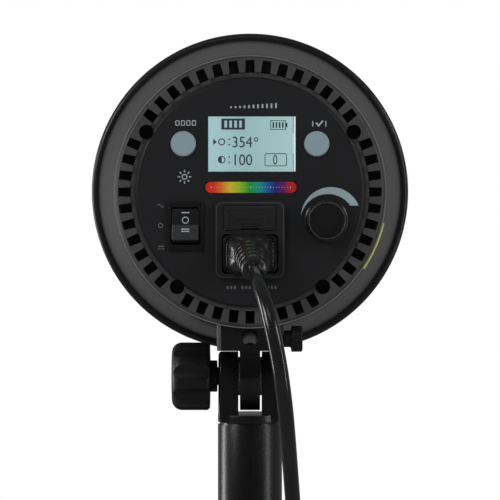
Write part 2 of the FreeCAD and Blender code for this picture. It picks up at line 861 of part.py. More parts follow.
def build_dimmer():
    """Dimmer knob, its shaft and the potentiometer behind the panel."""
    knob = new_body("dimmer_knob")
    skirt = -(s.dimmer_gap + s.dimmer_skirt_height)
    top = -s.dimmer_height
    socket = s.dimmer_shaft_radius + s.face_clearance
    add_turned(knob, [
        (socket, -s.dimmer_gap), (s.dimmer_skirt_radius, -s.dimmer_gap), (s.dimmer_skirt_radius, skirt + 0.6),
        (s.dimmer_radius, skirt), (s.dimmer_radius - 0.3, top + 1), (s.dimmer_radius - 1.3, top),
        (0, top), (0, top + 3), (socket, top + 3)])

    def draw_notch(sketch):
        box_outline(sketch, 0, s.dimmer_radius, 1.0, 5)
    cut_slab(knob, "XZ_Plane", top - 1, top + 0.7, draw_notch, turn=70.0)
    in_head(knob, s.dimmer_x, 0, s.dimmer_z)

    shaft = new_body("dimmer_shaft")
    rod(shaft, s.dimmer_shaft_radius, top + 3.2, s.panel_thickness + 1)
    in_head(shaft, s.dimmer_x, 0, s.dimmer_z)

    pot = new_body("dimmer_body")
    back = s.panel_thickness + s.face_clearance
    bore = s.dimmer_shaft_radius + s.running_clearance
    add_turned(pot, [
        (bore, 0.2), (s.dimmer_bush_radius, 0.2), (s.dimmer_bush_radius, back), (s.dimmer_body_radius, back),
        (s.dimmer_body_radius, back + s.dimmer_body_length), (0, back + s.dimmer_body_length),
        (0, s.panel_thickness + 1.1), (bore, s.panel_thickness + 1.1)])
    in_head(pot, s.dimmer_x, 0, s.dimmer_z)


def build_rocker_switch():
    """Rocker switch: bezel and box, and the rocker resting with its top pressed."""
    frame = new_body("switch_frame")
    wide = s.rocker_width + 2 * s.rocker_side_gap
    tall = 2 * (s.rocker_radius + s.rocker_end_gap)

    def draw_bezel(sketch):
        box_outline(sketch, 0, 0, s.switch_width, s.switch_height)
    add_slab(frame, "XZ_Plane", -s.switch_proud, -s.face_clearance, draw_bezel)

    def draw_box(sketch):
        box_outline(sketch, 0, 0, s.switch_width - s.switch_border - 0.4, s.switch_height - s.switch_border - 0.4)
    add_slab(frame, "XZ_Plane", -s.switch_proud / 2, s.switch_depth, draw_box)

    def draw_well(sketch):
        box_outline(sketch, 0, 0, wide, tall)
    cut_slab(frame, "XZ_Plane", -s.switch_proud - 1, s.rocker_pivot + s.rocker_radius + 1, draw_well)
    in_head(frame, s.rocker_x, 0, s.rocker_z)

    rocker = new_body("power_rocker")

    def draw_round(sketch):
        circle(sketch, 0, 0, s.rocker_radius)
    add_slab(rocker, "YZ_Plane", -s.rocker_width / 2, s.rocker_width / 2, draw_round)
    reach = s.rocker_radius + 1

    def draw_face(sketch):
        polygon(sketch, [(-reach, reach), (-3.5, reach), (-2.3, 0), (-3.5, -reach), (-reach, -reach)])
    cut_slab(rocker, "YZ_Plane", -s.rocker_width, s.rocker_width, draw_face)

    def draw_inside(sketch):
        polygon(sketch, [(3, -reach), (reach, -reach), (reach, reach), (3, reach)])
    cut_slab(rocker, "YZ_Plane", -s.rocker_width, s.rocker_width, draw_inside)
    tip = FreeCAD.Rotation(V(1, 0, 0), -SIZES["rocker_throw"])
    in_head(rocker, s.rocker_x, s.rocker_pivot, s.rocker_z, tip)


# ---------------------------------------------------------------- mains inlet

def build_inlet():
    """Fused mains inlet: body, pins, fuse drawer and fuse."""
    body = new_body("inlet_body")

    def draw_flange(sketch):
        box_outline(sketch, 0, s.inlet_z, s.inlet_width, s.inlet_height)
    add_slab(body, "XZ_Plane", -s.inlet_proud, -s.face_clearance, draw_flange)
    round_edges(body, runs_along(V(0, 1, 0)), s.inlet_corner)

    def draw_box(sketch):
        gap = s.inlet_border + 0.4
        box_outline(sketch, 0, s.inlet_z, s.inlet_width - gap, s.inlet_height - gap)
    add_slab(body, "XZ_Plane", -s.inlet_proud / 2, s.inlet_depth, draw_box)

    def draw_socket(sketch):
        box_outline(sketch, 0, s.socket_z, s.socket_width, s.socket_height)
    cut_slab(body, "XZ_Plane", -s.inlet_proud - 1, s.socket_bottom, draw_socket)

    def draw_drawer_well(sketch):
        gap = 2 * s.drawer_clearance
        box_outline(sketch, 0, s.drawer_z, s.drawer_width + gap, s.drawer_height + gap)
    cut_slab(body, "XZ_Plane", -s.inlet_proud - 1, s.drawer_depth + 0.5, draw_drawer_well)
    in_head(body)

    for label, x, rise in (("inlet_pin_line", -1, -1), ("inlet_pin_neutral", 1, -1), ("inlet_pin_earth", 0, 1)):
        pin = new_body(label)

        def draw_pin(sketch):
            width, height = s.pin_thickness, s.pin_width
            box_outline(sketch, x * s.pin_spacing / 2, s.socket_z - 0.5 + rise * 2.0, width, height)
        add_slab(pin, "XZ_Plane", s.socket_bottom + s.face_clearance - s.pin_length,
                 s.socket_bottom - s.face_clearance, draw_pin)
        in_head(pin)

    drawer = new_body("fuse_drawer")

    def draw_drawer(sketch):
        box_outline(sketch, 0, s.drawer_z, s.drawer_width, s.drawer_height)
    add_slab(drawer, "XZ_Plane", -s.inlet_proud - 0.4, s.drawer_depth, draw_drawer)

    def draw_tray(sketch):
        box_outline(sketch, 0, s.drawer_z + s.drawer_floor / 2, s.drawer_width - 2 * s.drawer_wall,
                    s.drawer_height - s.drawer_floor)
    tray_start, tray_end = s.drawer_wall, s.drawer_depth - s.drawer_wall
    cut_slab(drawer, "XZ_Plane", tray_start, tray_end, draw_tray)

    def draw_notch(sketch):
        box_outline(sketch, 0, s.drawer_z - s.drawer_height / 2, 8, 3)
    cut_slab(drawer, "XZ_Plane", -s.inlet_proud - 1, -s.inlet_proud / 2, draw_notch)
    in_head(drawer)

    fuse = new_body("fuse")
    half = s.fuse_length / 2
    cap = s.fuse_radius
    glass = s.fuse_radius - 0.2
    add_turned(fuse, [(0, -half), (cap, -half), (cap, 4 - half), (glass, 4 - half), (glass, half - 4),
                      (cap, half - 4), (cap, half), (0, half)])
    tray_floor = s.drawer_z - s.drawer_height / 2 + s.drawer_floor
    in_head(fuse, 0, (tray_start + tray_end) / 2, tray_floor + s.fuse_radius + s.face_clearance)


# ---------------------------------------------------------------- bracket and umbrella holder

def build_bracket():
    """Bracket under the shell: wide saddle, tongue for the tilt joint and the umbrella bore."""
    body = new_body("bracket")

    def draw_saddle(sketch):
        box_outline(sketch, 0, -(s.bracket_bottom + s.rear_radius - 6) / 2, s.bracket_width,
                    s.bracket_bottom - s.rear_radius + 6)
    add_slab(body, "XZ_Plane", s.bracket_rear, bracket_front, draw_saddle)
    round_edges(body, runs_along(V(0, 0, 1)), s.bracket_chamfer, "Chamfer")

    def draw_web(sketch):
        top, bottom = -(s.bracket_bottom - 2), -s.pin_drop
        reach = s.tongue_end_radius
        polygon(sketch, [(s.bracket_rear, top), (s.bracket_rear, -s.bracket_bottom),
                         (s.pin_depth - reach, bottom), (s.pin_depth + reach, bottom),
                         (bracket_front, -s.bracket_bottom - 4), (bracket_front, top)])
    half = s.tongue_thickness / 2
    add_slab(body, "YZ_Plane", -half, half, draw_web)

    def draw_end(sketch):
        circle(sketch, s.pin_depth, -s.pin_drop, s.tongue_end_radius)
    add_slab(body, "YZ_Plane", -half, half, draw_end)

    def draw_pin_hole(sketch):
        circle(sketch, s.pin_depth, -s.pin_drop, s.bolt_radius + s.running_clearance)
    cut_slab(body, "YZ_Plane", -s.bracket_width, s.bracket_width, draw_pin_hole)
    cut_turned(body, [
        (0, s.bracket_rear - 1), (cone_at(s.bracket_rear - 1) + s.seat_clearance, s.bracket_rear - 1),
        (cone_at(bracket_front + 1) + s.seat_clearance, bracket_front + 1), (0, bracket_front + 1)])
    for side in (-1, 1):
        x = side * s.bracket_screw_spacing / 2
        y = bracket_screw_depth

        def draw_screw_hole(sketch):
            circle(sketch, x, y, s.bracket_screw_radius + 0.2)
        cut_slab(body, "XY_Plane", -s.bracket_bottom - 1, -s.rear_radius, draw_screw_hole)

        def draw_screw_seat(sketch):
            circle(sketch, x, y, s.bracket_screw_head + 0.3)
        cut_slab(body, "XY_Plane", -s.bracket_bottom - 1, -s.bracket_bottom + s.bracket_screw_sink,
                 draw_screw_seat)

    def draw_lock_hole(sketch):
        circle(sketch, s.bracket_rear + s.wheel_setback, -umbrella_level(s.wheel_setback),
               s.wheel_screw_radius + s.wheel_screw_clearance)
    cut_slab(body, "YZ_Plane", 0, s.bracket_width, draw_lock_hole)

    sketch = sketch_on(body, "XZ_Plane")
    sketch.AttachmentOffset = FreeCAD.Placement(
        V(0, -s.umbrella_drop.value, -s.bracket_rear.value),
        FreeCAD.Rotation(V(1, 0, 0), -SIZES["umbrella_slope"]))
    bind(sketch, "AttachmentOffset.Base.y", -s.umbrella_drop)
    bind(sketch, "AttachmentOffset.Base.z", -s.bracket_rear)
    circle(sketch, 0, 0, s.umbrella_radius)
    bore = body.newObject("PartDesign::Pocket", "umbrella_bore")
    bore.Profile = sketch
    bore.SideType = "Two sides"
    bore.Type = "Length"
    bind(bore, "Length", s.bracket_depth + 10)
    bind(bore, "Length2", 5)
    in_head(body)


def umbrella_level(setback):
    """Depth of the umbrella bore's centre below the lamp axis, setback in front of its mouth."""
    return s.umbrella_drop + setback * math.tan(math.radians(SIZES["umbrella_slope"]))


def build_bracket_screws():
    """Two screws that hold the bracket to the shell from below."""
    for number, side in ((1, -1), (2, 1)):
        body = new_body(f"bracket_screw_{number}")
        seat = s.bracket_screw_sink - s.face_clearance
        end = seat + s.bracket_screw_length
        add_turned(body, [
            (0, 0), (s.bracket_screw_head, 0), (s.bracket_screw_head, seat), (s.bracket_screw_radius, seat),
            (s.bracket_screw_radius, end), (0, end)])
        in_head(body, side * s.bracket_screw_spacing / 2, bracket_screw_depth, -s.bracket_bottom, UP)


def build_umbrella_lock():
    """Thumb screw that clamps an umbrella shaft, drawn back clear of the bore."""
    tip = s.umbrella_radius + 0.15
    neck = s.bracket_width / 2 + s.wheel_neck
    level = -umbrella_level(s.wheel_setback)
    screw = new_body("umbrella_screw")
    rod(screw, s.wheel_screw_radius, tip, neck + s.wheel_thickness - 1)
    in_head(screw, 0, s.bracket_rear + s.wheel_setback, level, RIGHT)

    wheel = new_body("umbrella_wheel")
    hole = s.wheel_screw_radius
    shoulder = s.bracket_width / 2 + 0.3
    add_turned(wheel, [
        (hole, shoulder), (s.wheel_radius - 2, shoulder), (s.wheel_radius - 2, neck),
        (s.wheel_radius, neck + 0.5),
        (s.wheel_radius, neck + s.wheel_thickness - 0.6), (s.wheel_radius - 0.6, neck + s.wheel_thickness),
        (0, neck + s.wheel_thickness), (0, neck + s.wheel_thickness - 1),
        (hole, neck + s.wheel_thickness - 1)])

    def draw_knurl(sketch):
        circle(sketch, 0, s.wheel_radius + 0.15, 0.5)
    knurl = cut_slab(wheel, "XZ_Plane", neck, neck + s.wheel_thickness + 1, draw_knurl)
    all_around(wheel, knurl, 20)
    in_head(wheel, 0, s.bracket_rear + s.wheel_setback, level, RIGHT)


# ---------------------------------------------------------------- stand adapter and tilt joint

def build_stand_adapter():
    """Stand tube with its socket, and the clevis above the collar groove."""
    tube = new_body("stand_tube")
    radius, groove = s.adapter_radius, s.collar_groove_depth
    end = s.adapter_length
    add_turned(tube, [
        (s.socket_radius, 0), (radius - 1, 0), (radius, 1), (radius, end - s.collar_groove_width),
        (radius - groove, end - s.collar_groove_width), (radius - groove, end),
        (0, end), (0, s.socket_depth), (s.socket_radius, s.socket_depth)])
    for turn in (0.0, 180.0):
        def draw_line(sketch):
            box_outline(sketch, 0, radius, s.parting_line_width, s.parting_line_depth * 2)
        cut_slab(tube, "XZ_Plane", -1, end - s.collar_groove_width, draw_line, turn=turn)

    def draw_lock_hole(sketch):
        circle(sketch, s.lock_height, 0, s.lock_screw_radius + s.running_clearance)
    cut_slab(tube, "YZ_Plane", -s.adapter_radius - 1, -s.socket_radius + 1, draw_lock_hole)
    place(tube, turn=UP)

    clevis = new_body("stand_clevis")
    half = s.clevis_half_width
    floor = s.slot_floor_drop
    base = s.pin_rise - s.face_clearance

    def draw_ear(sketch):
        reach = s.ear_radius
        polygon(sketch, [(-reach, -base), (reach, -base), (reach, 0), (-reach, 0)])
    add_slab(clevis, "YZ_Plane", -half, half, draw_ear)
    round_edges(clevis, lambda edge: runs_along(V(0, 1, 0))(edge) and edge.BoundBox.ZMax < -1,
                s.ear_corner_radius)

    def draw_ear_top(sketch):
        circle(sketch, 0, 0, s.ear_radius)
    add_slab(clevis, "YZ_Plane", -half, half, draw_ear_top)
    round_edges(clevis, ear_rim_test(half), 1.6)

    def draw_collar(sketch):
        circle(sketch, 0, 0, s.adapter_radius)
    add_slab(clevis, "XY_Plane", -base, -floor, draw_collar)
    gap = s.tongue_thickness / 2 + s.washer_thickness + s.face_clearance * 2

    def draw_slot(sketch):
        reach = s.adapter_radius + 5
        polygon(sketch, [(-gap, -floor), (gap, -floor), (gap, reach), (-gap, reach)])
    cut_slab(clevis, "XZ_Plane", -s.adapter_radius - 5, s.adapter_radius + 5, draw_slot)

    def draw_pin_hole(sketch):
        circle(sketch, 0, 0, s.bolt_radius + s.running_clearance)
    cut_slab(clevis, "YZ_Plane", -half - 1, half + 1, draw_pin_hole)

    def draw_head_seat(sketch):
        circle(sketch, 0, 0, s.bolt_head_radius + 0.2)
    cut_slab(clevis, "YZ_Plane", half - s.bolt_head_thickness - 0.3, half + 1, draw_head_seat)
    place(clevis, z=pin_height)


def ear_rim_test(half):
    """Test: the curved rim of either ear, on its outer face."""
    def test(edge):
        if edge.Curve.TypeId != "Part::GeomCircle" or abs(edge.Curve.Radius - s.ear_radius.value) > 1e-3:
            return False
        return abs(abs(edge.CenterOfMass.x) - half.value) < 1e-3
    return test


def build_tilt_joint():
    """Bolt, friction washers and the lobed tilt knob."""
    bolt = new_body("tilt_bolt")
    head_face = s.clevis_half_width - 0.3
    knob_end = s.clevis_half_width + 0.5 + s.tilt_hub_length + s.tilt_knob_length
    inside = knob_end - 5
    add_turned(bolt, [
        (0, -inside), (s.bolt_radius, -inside), (s.bolt_radius, head_face - s.bolt_head_thickness),
        (s.bolt_head_radius, head_face - s.bolt_head_thickness), (s.bolt_head_radius, head_face),
        (0, head_face)])

    def draw_key(sketch):
        box_outline(sketch, 0, 0, 5, 5)
    cut_slab(bolt, "XZ_Plane", head_face - 2.5, head_face + 1, draw_key)
    place(bolt, z=pin_height, turn=RIGHT)

    for label, turn in (("friction_washer_left", LEFT), ("friction_washer_right", RIGHT)):
        washer = new_body(label)
        start = s.tongue_thickness / 2 + s.face_clearance
        end = start + s.washer_thickness
        bore = s.bolt_radius + s.running_clearance
        add_turned(washer, [(bore, start), (s.washer_radius, start), (s.washer_radius, end), (bore, end)])
        place(washer, z=pin_height, turn=turn)

    hub = new_body("tilt_hub")
    start = s.clevis_half_width + 0.5
    bore = s.bolt_radius + s.running_clearance
    end = start + s.tilt_hub_length
    add_turned(hub, [(bore, start), (s.tilt_hub_radius, start), (s.tilt_hub_radius, end), (bore, end)])
    place(hub, z=pin_height, turn=LEFT)

    knob = new_body("tilt_knob")
    lobed_knob(knob, bore, end, s.tilt_knob_length, s.tilt_knob_radius, s.tilt_knob_round, 4.8)
    place(knob, z=pin_height, turn=LEFT)


def lobed_knob(body, bore, start, length, radius, rounding, cap):
    """A fluted knob with a blind bore, rounded at its outer end."""
    end = start + length
    add_turned(body, [
        (bore, start), (radius - 1, start), (radius, start + 1), (radius, end), (0, end),
        (0, end - cap), (bore, end - cap)])
    round_edges(body, rings_at(radius, end), rounding)

    def draw_flute(sketch):
        circle(sketch, 0, radius + s.flute_radius - s.flute_depth, s.flute_radius)
    flute = cut_slab(body, "XZ_Plane", start - 1, end + 1, draw_flute)
    all_around(body, flute, int(SIZES["flute_count"]))


def build_stand_lock():
    """Screw and knob that clamp the stand's stud."""
    screw = new_body("stand_screw")
    neck = s.adapter_radius + s.lock_neck_length
    inside = neck + s.lock_knob_length - 4
    rod(screw, s.lock_screw_radius, s.socket_radius + 0.2, inside)
    place(screw, z=s.lock_height, turn=LEFT)

    knob = new_body("stand_knob")
    start = s.adapter_radius + 0.5
    add_turned(knob, [
        (s.lock_screw_radius, start), (s.lock_screw_radius + 2.5, start), (s.lock_screw_radius + 2.5, neck + 1),
        (s.lock_screw_radius, neck + 1)])
    lobed_knob(knob, s.lock_screw_radius, neck, s.lock_knob_length, s.lock_knob_radius, 3.0, 3.9)
    place(knob, z=s.lock_height, turn=LEFT)


# ---------------------------------------------------------------- mains lead

# Route of the cord by hand, in the row's frame: from the strain relief to the coil, and from the
# coil to the plug.
HANG_ROUTE = [
    V(1.8, -85.0, 134.3),
    V(2.9, -98.6, 131.1),
    V(6.0, -109.4, 122.8),
    V(9.2, -116.2, 110.4),
    V(12.0, -117.5, 96.3),
    V(14.2, -112.5, 80.0),
    V(15.7, -102.2, 63.0),
    V(17.1, -89.4, 45.4),
    V(18.6, -78.6, 26.4),
    V(19.8, -71.8, 5.4),
    V(20.4, -69.2, -14.0),
    V(20.0, -66.5, -30.0),
]
TAIL_ROUTE = [
    V(25.6, -63.2, -34.0),
    V(25.2, -62.6, -54.0),
    V(23.4, -61.8, -74.0),
    V(20.6, -61.2, -93.0),
    V(19.0, -61.0, -112.0),
]
BOOT_RIBS = 6
COIL_CENTRE = V(-17.5, -60.0, -30.0)


def rounded_path(points):
    """Straight runs joined by tangent arcs as large as their two runs allow."""
    edges = []
    radii = []
    at = points[0]
    for before, corner, after in zip(points, points[1:], points[2:]):
        back, ahead = before - corner, after - corner
        short = min(back.Length, ahead.Length)
        half_turn = (math.pi - back.getAngle(ahead)) / 2
        cut = 0.45 * short
        radii.append(cut / math.tan(half_turn))
        back.normalize()
        ahead.normalize()
        start, end = corner + back * cut, corner + ahead * cut
        bisector = (back + ahead).normalize()
        reach = radii[-1] / math.cos(half_turn) - radii[-1]
        edges.append(Part.LineSegment(at, start).toShape())
        edges.append(Part.Arc(start, corner + bisector * reach, end).toShape())
        at = end
    edges.append(Part.LineSegment(at, points[-1]).toShape())
    return Part.Wire(edges), radii


def cord_tube(label, points):
    """A cord's solid along its route."""
    path, radii = rounded_path(points)
    heading = points[1] - points[0]
    ring = Part.Wire([Part.Circle(points[0], heading, s.cord_radius.value).toShape()])
    tube = path.makePipeShell([ring], True, True)
    straight = math.pi * s.cord_radius.value ** 2 * path.Length
    print(f"{label}: length {path.Length:.1f}, volume ratio {tube.Volume / straight:.4f}, radii "
          + " ".join(f"{radius:.0f}" for radius in radii))
    place(solid_node(label, tube))


def build_lead():
    """Line connector, strain relief, cord, coil, tie and mains plug."""
    connector = new_body("line_connector")

    rear = -s.inlet_proud - s.connector_length

    def draw_grip(sketch):
        box_outline(sketch, 0, s.socket_z, s.connector_width, s.connector_height)
    add_slab(connector, "XZ_Plane", rear, -s.inlet_proud, draw_grip)
    round_edges(connector, runs_along(V(0, 1, 0)), s.connector_round)

    def draw_insert(sketch):
        gap = 2 * s.plug_clearance
        box_outline(sketch, 0, s.socket_z, s.socket_width - gap, s.socket_height - gap)
    add_slab(connector, "XZ_Plane", -s.inlet_proud, s.socket_bottom - s.face_clearance * 2, draw_insert)
    for x, rise in ((-1, -1), (1, -1), (0, 1)):
        def draw_slot(sketch):
            box_outline(sketch, x * s.pin_spacing / 2, s.socket_z - 0.5 + rise * 2.0,
                        s.pin_thickness + 0.4, s.pin_width + 0.4)
        cut_slab(connector, "XZ_Plane", 0, s.socket_bottom + 1, draw_slot)
    in_head(connector)

    boot = new_body("strain_relief")
    start = HANG_ROUTE[0]
    out = (HANG_ROUTE[1] - start).normalize()
    length = ((rear - s.pin_depth).value - start.y) / -out.y
    base = start - out * length
    small = s.boot_radius.value
    big = small + s.boot_flare.value
    groove = s.boot_rib_height.value
    ribs = [(0.0, 0.0), (big, 0.0)]
    step = length / BOOT_RIBS
    for number in range(BOOT_RIBS):
        ring = big + (small - big) * number / (BOOT_RIBS - 1)
        ribs.append((ring, (number + 0.55) * step))
        if number < BOOT_RIBS - 1:
            ribs.append((ring - groove, (number + 0.6) * step))
            ribs.append((ring - groove, (number + 0.95) * step))
            ribs.append((ring - groove / 5, (number + 1) * step))
    ribs.append(((s.cord_radius + s.boot_wall).value, length))
    ribs.append((0.0, length))
    add_turned(boot, ribs)
    place(boot, base.x, base.y, base.z, FreeCAD.Rotation(V(0, 1, 0), out))

    cord_tube("mains_cord", HANG_ROUTE)
    cord_tube("cord_tail", TAIL_ROUTE)

    coil = doc.addObject("Part::Torus", "cord_coil")
    coil.Label = "cord_coil"
    bind(coil, "Radius1", s.coil_radius)
    bind(coil, "Radius2", s.coil_section)
    nodes.append(coil)
    place(coil, COIL_CENTRE.x, COIL_CENTRE.y, COIL_CENTRE.z, UP)

    tie_outer = doc.addObject("Part::Torus", "tie_outer")
    tie_inner = doc.addObject("Part::Torus", "tie_inner")
    outside, inside = s.coil_section + s.tie_thickness, s.coil_section + s.tie_clearance
    for ring, section in ((tie_outer, outside), (tie_inner, inside)):
        bind(ring, "Radius1", s.coil_radius)
        bind(ring, "Radius2", section)
        bind(ring, "Angle3", s.tie_sweep)
    tie = doc.addObject("Part::Cut", "cord_tie")
    tie.Label = "cord_tie"
    tie.Base = tie_outer
    tie.Tool = tie_inner
    nodes.append(tie)
    over_top = FreeCAD.Rotation(V(0, 0, 1), 90.0 - SIZES["tie_sweep"] / 2)
    place(tie, COIL_CENTRE.x, COIL_CENTRE.y, COIL_CENTRE.z, UP.multiply(over_top))

    plug = new_body("plug_body")
    end = TAIL_ROUTE[-1]
    heading = (end - TAIL_ROUTE[-2]).normalize()
    add_turned(plug, [
        (0, 0), (s.cord_radius + s.boot_wall, 0), (s.cord_radius + s.plug_neck_flare, s.plug_neck_length),
        (s.plug_waist_radius, s.plug_waist_start), (s.plug_grip_radius, s.plug_grip_end),
        (s.plug_radius, s.plug_face_start), (s.plug_radius, s.plug_length), (0, s.plug_length)])
    place(plug, end.x, end.y, end.z, FreeCAD.Rotation(V(0, 1, 0), heading))

    pins = new_body("plug_pins")

    def draw_pins(sketch):
        for side in (-1, 1):
            circle(sketch, side * s.plug_pin_spacing / 2, 0, s.plug_pin_radius)
    add_slab(pins, "XZ_Plane", s.plug_length + s.face_clearance, s.plug_length + s.plug_pin_length, draw_pins)
    place(pins, end.x, end.y, end.z, FreeCAD.Rotation(V(0, 1, 0), heading))


# ---------------------------------------------------------------- build, check and export

build_housing()
build_rear_cover()
build_cover_screws()
build_front()
build_accent_strip()
build_light_engine()
build_fan()
build_power_board()
build_control_panel()
build_hue_strip()
build_display()
build_buttons()
build_dimmer()
build_rocker_switch()
build_inlet()
build_bracket()
build_bracket_screws()
build_umbrella_lock()
build_stand_adapter()
build_tilt_joint()
build_stand_lock()
build_lead()
doc.recompute()

for item in doc.Objects:
    if "Invalid" in item.State or "Error" in item.State:
        raise RuntimeError(f"{item.Label} ({item.Name}) did not build: {item.State}")

os.makedirs("parts", exist_ok=True)
for node in nodes:
    if node.Shape.isNull() or not node.Shape.isValid() or node.Shape.Volume <= 0:
        raise RuntimeError(f"{node.Label} is not a valid solid")
    node.Shape.exportStep(f"parts/{node.Label}.step")
print(f"{len(nodes)} sub-parts")
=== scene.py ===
import bpy
import bmesh
import math
from mathutils import Matrix, Vector


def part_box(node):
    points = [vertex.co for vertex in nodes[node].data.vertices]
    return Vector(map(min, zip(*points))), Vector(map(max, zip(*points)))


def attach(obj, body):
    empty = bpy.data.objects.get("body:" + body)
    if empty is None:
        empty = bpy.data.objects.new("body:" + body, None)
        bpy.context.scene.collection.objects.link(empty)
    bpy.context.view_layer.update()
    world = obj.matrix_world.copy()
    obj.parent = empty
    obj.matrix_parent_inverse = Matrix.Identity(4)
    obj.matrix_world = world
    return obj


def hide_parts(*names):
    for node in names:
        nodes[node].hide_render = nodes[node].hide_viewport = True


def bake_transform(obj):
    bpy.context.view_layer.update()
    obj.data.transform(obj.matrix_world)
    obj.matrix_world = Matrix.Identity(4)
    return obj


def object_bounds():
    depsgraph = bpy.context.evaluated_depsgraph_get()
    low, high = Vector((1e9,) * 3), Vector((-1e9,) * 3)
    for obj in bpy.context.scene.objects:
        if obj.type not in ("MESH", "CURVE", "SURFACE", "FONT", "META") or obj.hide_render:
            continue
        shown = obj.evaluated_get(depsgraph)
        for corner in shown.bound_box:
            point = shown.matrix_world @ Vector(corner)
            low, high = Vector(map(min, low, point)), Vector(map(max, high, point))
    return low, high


# Looks of the LED monolight. Metres, in the CAD frame: +Z up, light toward +Y, panel facing -Y.

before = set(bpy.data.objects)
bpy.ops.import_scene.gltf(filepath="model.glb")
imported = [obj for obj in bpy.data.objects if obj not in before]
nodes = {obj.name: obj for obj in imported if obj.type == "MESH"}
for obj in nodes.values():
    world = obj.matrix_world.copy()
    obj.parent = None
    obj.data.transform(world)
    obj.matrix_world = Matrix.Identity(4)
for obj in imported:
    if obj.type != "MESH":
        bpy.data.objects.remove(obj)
cad_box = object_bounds()
MM = 0.001


def centre_of(node):
    low, high = (Vector(corner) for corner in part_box(node))
    return (low + high) / 2


HEAD = centre_of("control_panel")
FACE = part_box("control_panel")[0][1]
# Middles of the mains socket and of the rocker, in millimetres from the lamp axis.
SOCKET_Z = -26.4
ROCKER_Z = -14.5


def on_panel(x, z, lift=0.0):
    """A point x, z millimetres from the lamp axis, lifted off the panel toward its user."""
    return Vector((HEAD.x + x * MM, FACE - lift * MM, HEAD.z + z * MM))


# ---------------------------------------------------------------- materials

def grey(level):
    return (level, level, level)


def node_tree(name):
    material = bpy.data.materials.new(name)
    material.use_nodes = True
    tree = material.node_tree
    return material, tree, tree.nodes["Principled BSDF"]


def noise(tree, scale, detail=4.0, stretch=None):
    """Noise over the object's own coordinates, so it stays put when the piece moves."""
    coords = tree.nodes.new("ShaderNodeTexCoord")
    source = coords.outputs["Object"]
    if stretch:
        mapping = tree.nodes.new("ShaderNodeMapping")
        mapping.inputs["Scale"].default_value = stretch
        tree.links.new(source, mapping.inputs["Vector"])
        source = mapping.outputs["Vector"]
    texture = tree.nodes.new("ShaderNodeTexNoise")
    texture.inputs["Scale"].default_value = scale
    texture.inputs["Detail"].default_value = detail
    texture.inputs["Roughness"].default_value = 0.55
    tree.links.new(source, texture.inputs["Vector"])
    return texture.outputs["Fac"]


def ramp(tree, source, stops):
    """A colour ramp with (position, colour) stops."""
    item = tree.nodes.new("ShaderNodeValToRGB")
    elements = item.color_ramp.elements
    while len(elements) < len(stops):
        elements.new(0.5)
    for element, (position, colour) in zip(elements, stops):
        element.position = position
        element.color = (*colour, 1.0)
    tree.links.new(source, item.inputs["Fac"])
    return item.outputs["Color"]


def spread(tree, source, low, high):
    """Map a noise value to a range."""
    item = tree.nodes.new("ShaderNodeMapRange")
    item.inputs["From Min"].default_value = 0.3
    item.inputs["From Max"].default_value = 0.7
    item.inputs["To Min"].default_value = low
    item.inputs["To Max"].default_value = high
    tree.links.new(source, item.inputs["Value"])
    return item.outputs["Result"]


def bump(tree, bsdf, source, depth):
    """Relief of a depth in metres."""
    item = tree.nodes.new("ShaderNodeBump")
    item.inputs["Strength"].default_value = 1.0
    item.inputs["Distance"].default_value = depth
    tree.links.new(source, item.inputs["Height"])
    tree.links.new(item.outputs["Normal"], bsdf.inputs["Normal"])


def surface(name, colour, rough, grain, relief, vary=0.18, metal=0.0, stretch=None,
            rough_vary=0.08, patch=60.0, level=0.5):
    """A moulded, painted or metal surface: grain relief, uneven gloss and a little colour drift."""
    material, tree, bsdf = node_tree(name)
    bsdf.inputs["Metallic"].default_value = metal
    bsdf.inputs["Specular IOR Level"].default_value = level
    drift = noise(tree, patch, 5.0)
    dark = tuple(channel * (1 - vary) for channel in colour)
    light = tuple(min(1.0, channel * (1 + vary)) for channel in colour)
    tree.links.new(ramp(tree, drift, [(0.3, dark), (0.7, light)]), bsdf.inputs["Base Color"])
    fine = noise(tree, grain, 3.0, stretch)
    tree.links.new(spread(tree, fine, max(0.02, rough - rough_vary), min(1.0, rough + rough_vary)),
                   bsdf.inputs["Roughness"])
    bump(tree, bsdf, fine, relief)
    return material


def hue_bar():
    """Printed hue scale, red through the colours to red again, from left to right."""
    material, tree, bsdf = node_tree("hue_bar")
    coords = tree.nodes.new("ShaderNodeTexCoord")
    mapping = tree.nodes.new("ShaderNodeMapping")
    low, high = (Vector(corner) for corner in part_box("hue_strip"))
    width = high.x - low.x
    mapping.inputs["Location"].default_value = (-low.x / width, 0, 0)
    mapping.inputs["Scale"].default_value = (1 / width, 0, 0)
    split = tree.nodes.new("ShaderNodeSeparateXYZ")
    tree.links.new(coords.outputs["Object"], mapping.inputs["Vector"])
    tree.links.new(mapping.outputs["Vector"], split.inputs["Vector"])
    stops = [(0.0, (0.48, 0.012, 0.006)), (0.10, (0.56, 0.03, 0.008)), (0.18, (0.62, 0.14, 0.01)),
             (0.27, (0.58, 0.42, 0.02)), (0.38, (0.24, 0.42, 0.01)), (0.48, (0.01, 0.28, 0.02)),
             (0.60, (0.0, 0.25, 0.22)), (0.69, (0.01, 0.08, 0.30)), (0.77, (0.015, 0.012, 0.16)),
             (0.86, (0.11, 0.01, 0.10)), (0.93, (0.38, 0.01, 0.02)), (1.0, (0.42, 0.008, 0.006))]
    tree.links.new(ramp(tree, split.outputs["X"], stops), bsdf.inputs["Base Color"])
    fine = noise(tree, 3000.0)
    tree.links.new(spread(tree, fine, 0.30, 0.42), bsdf.inputs["Roughness"])
    bump(tree, bsdf, fine, 0.000004)
    return material


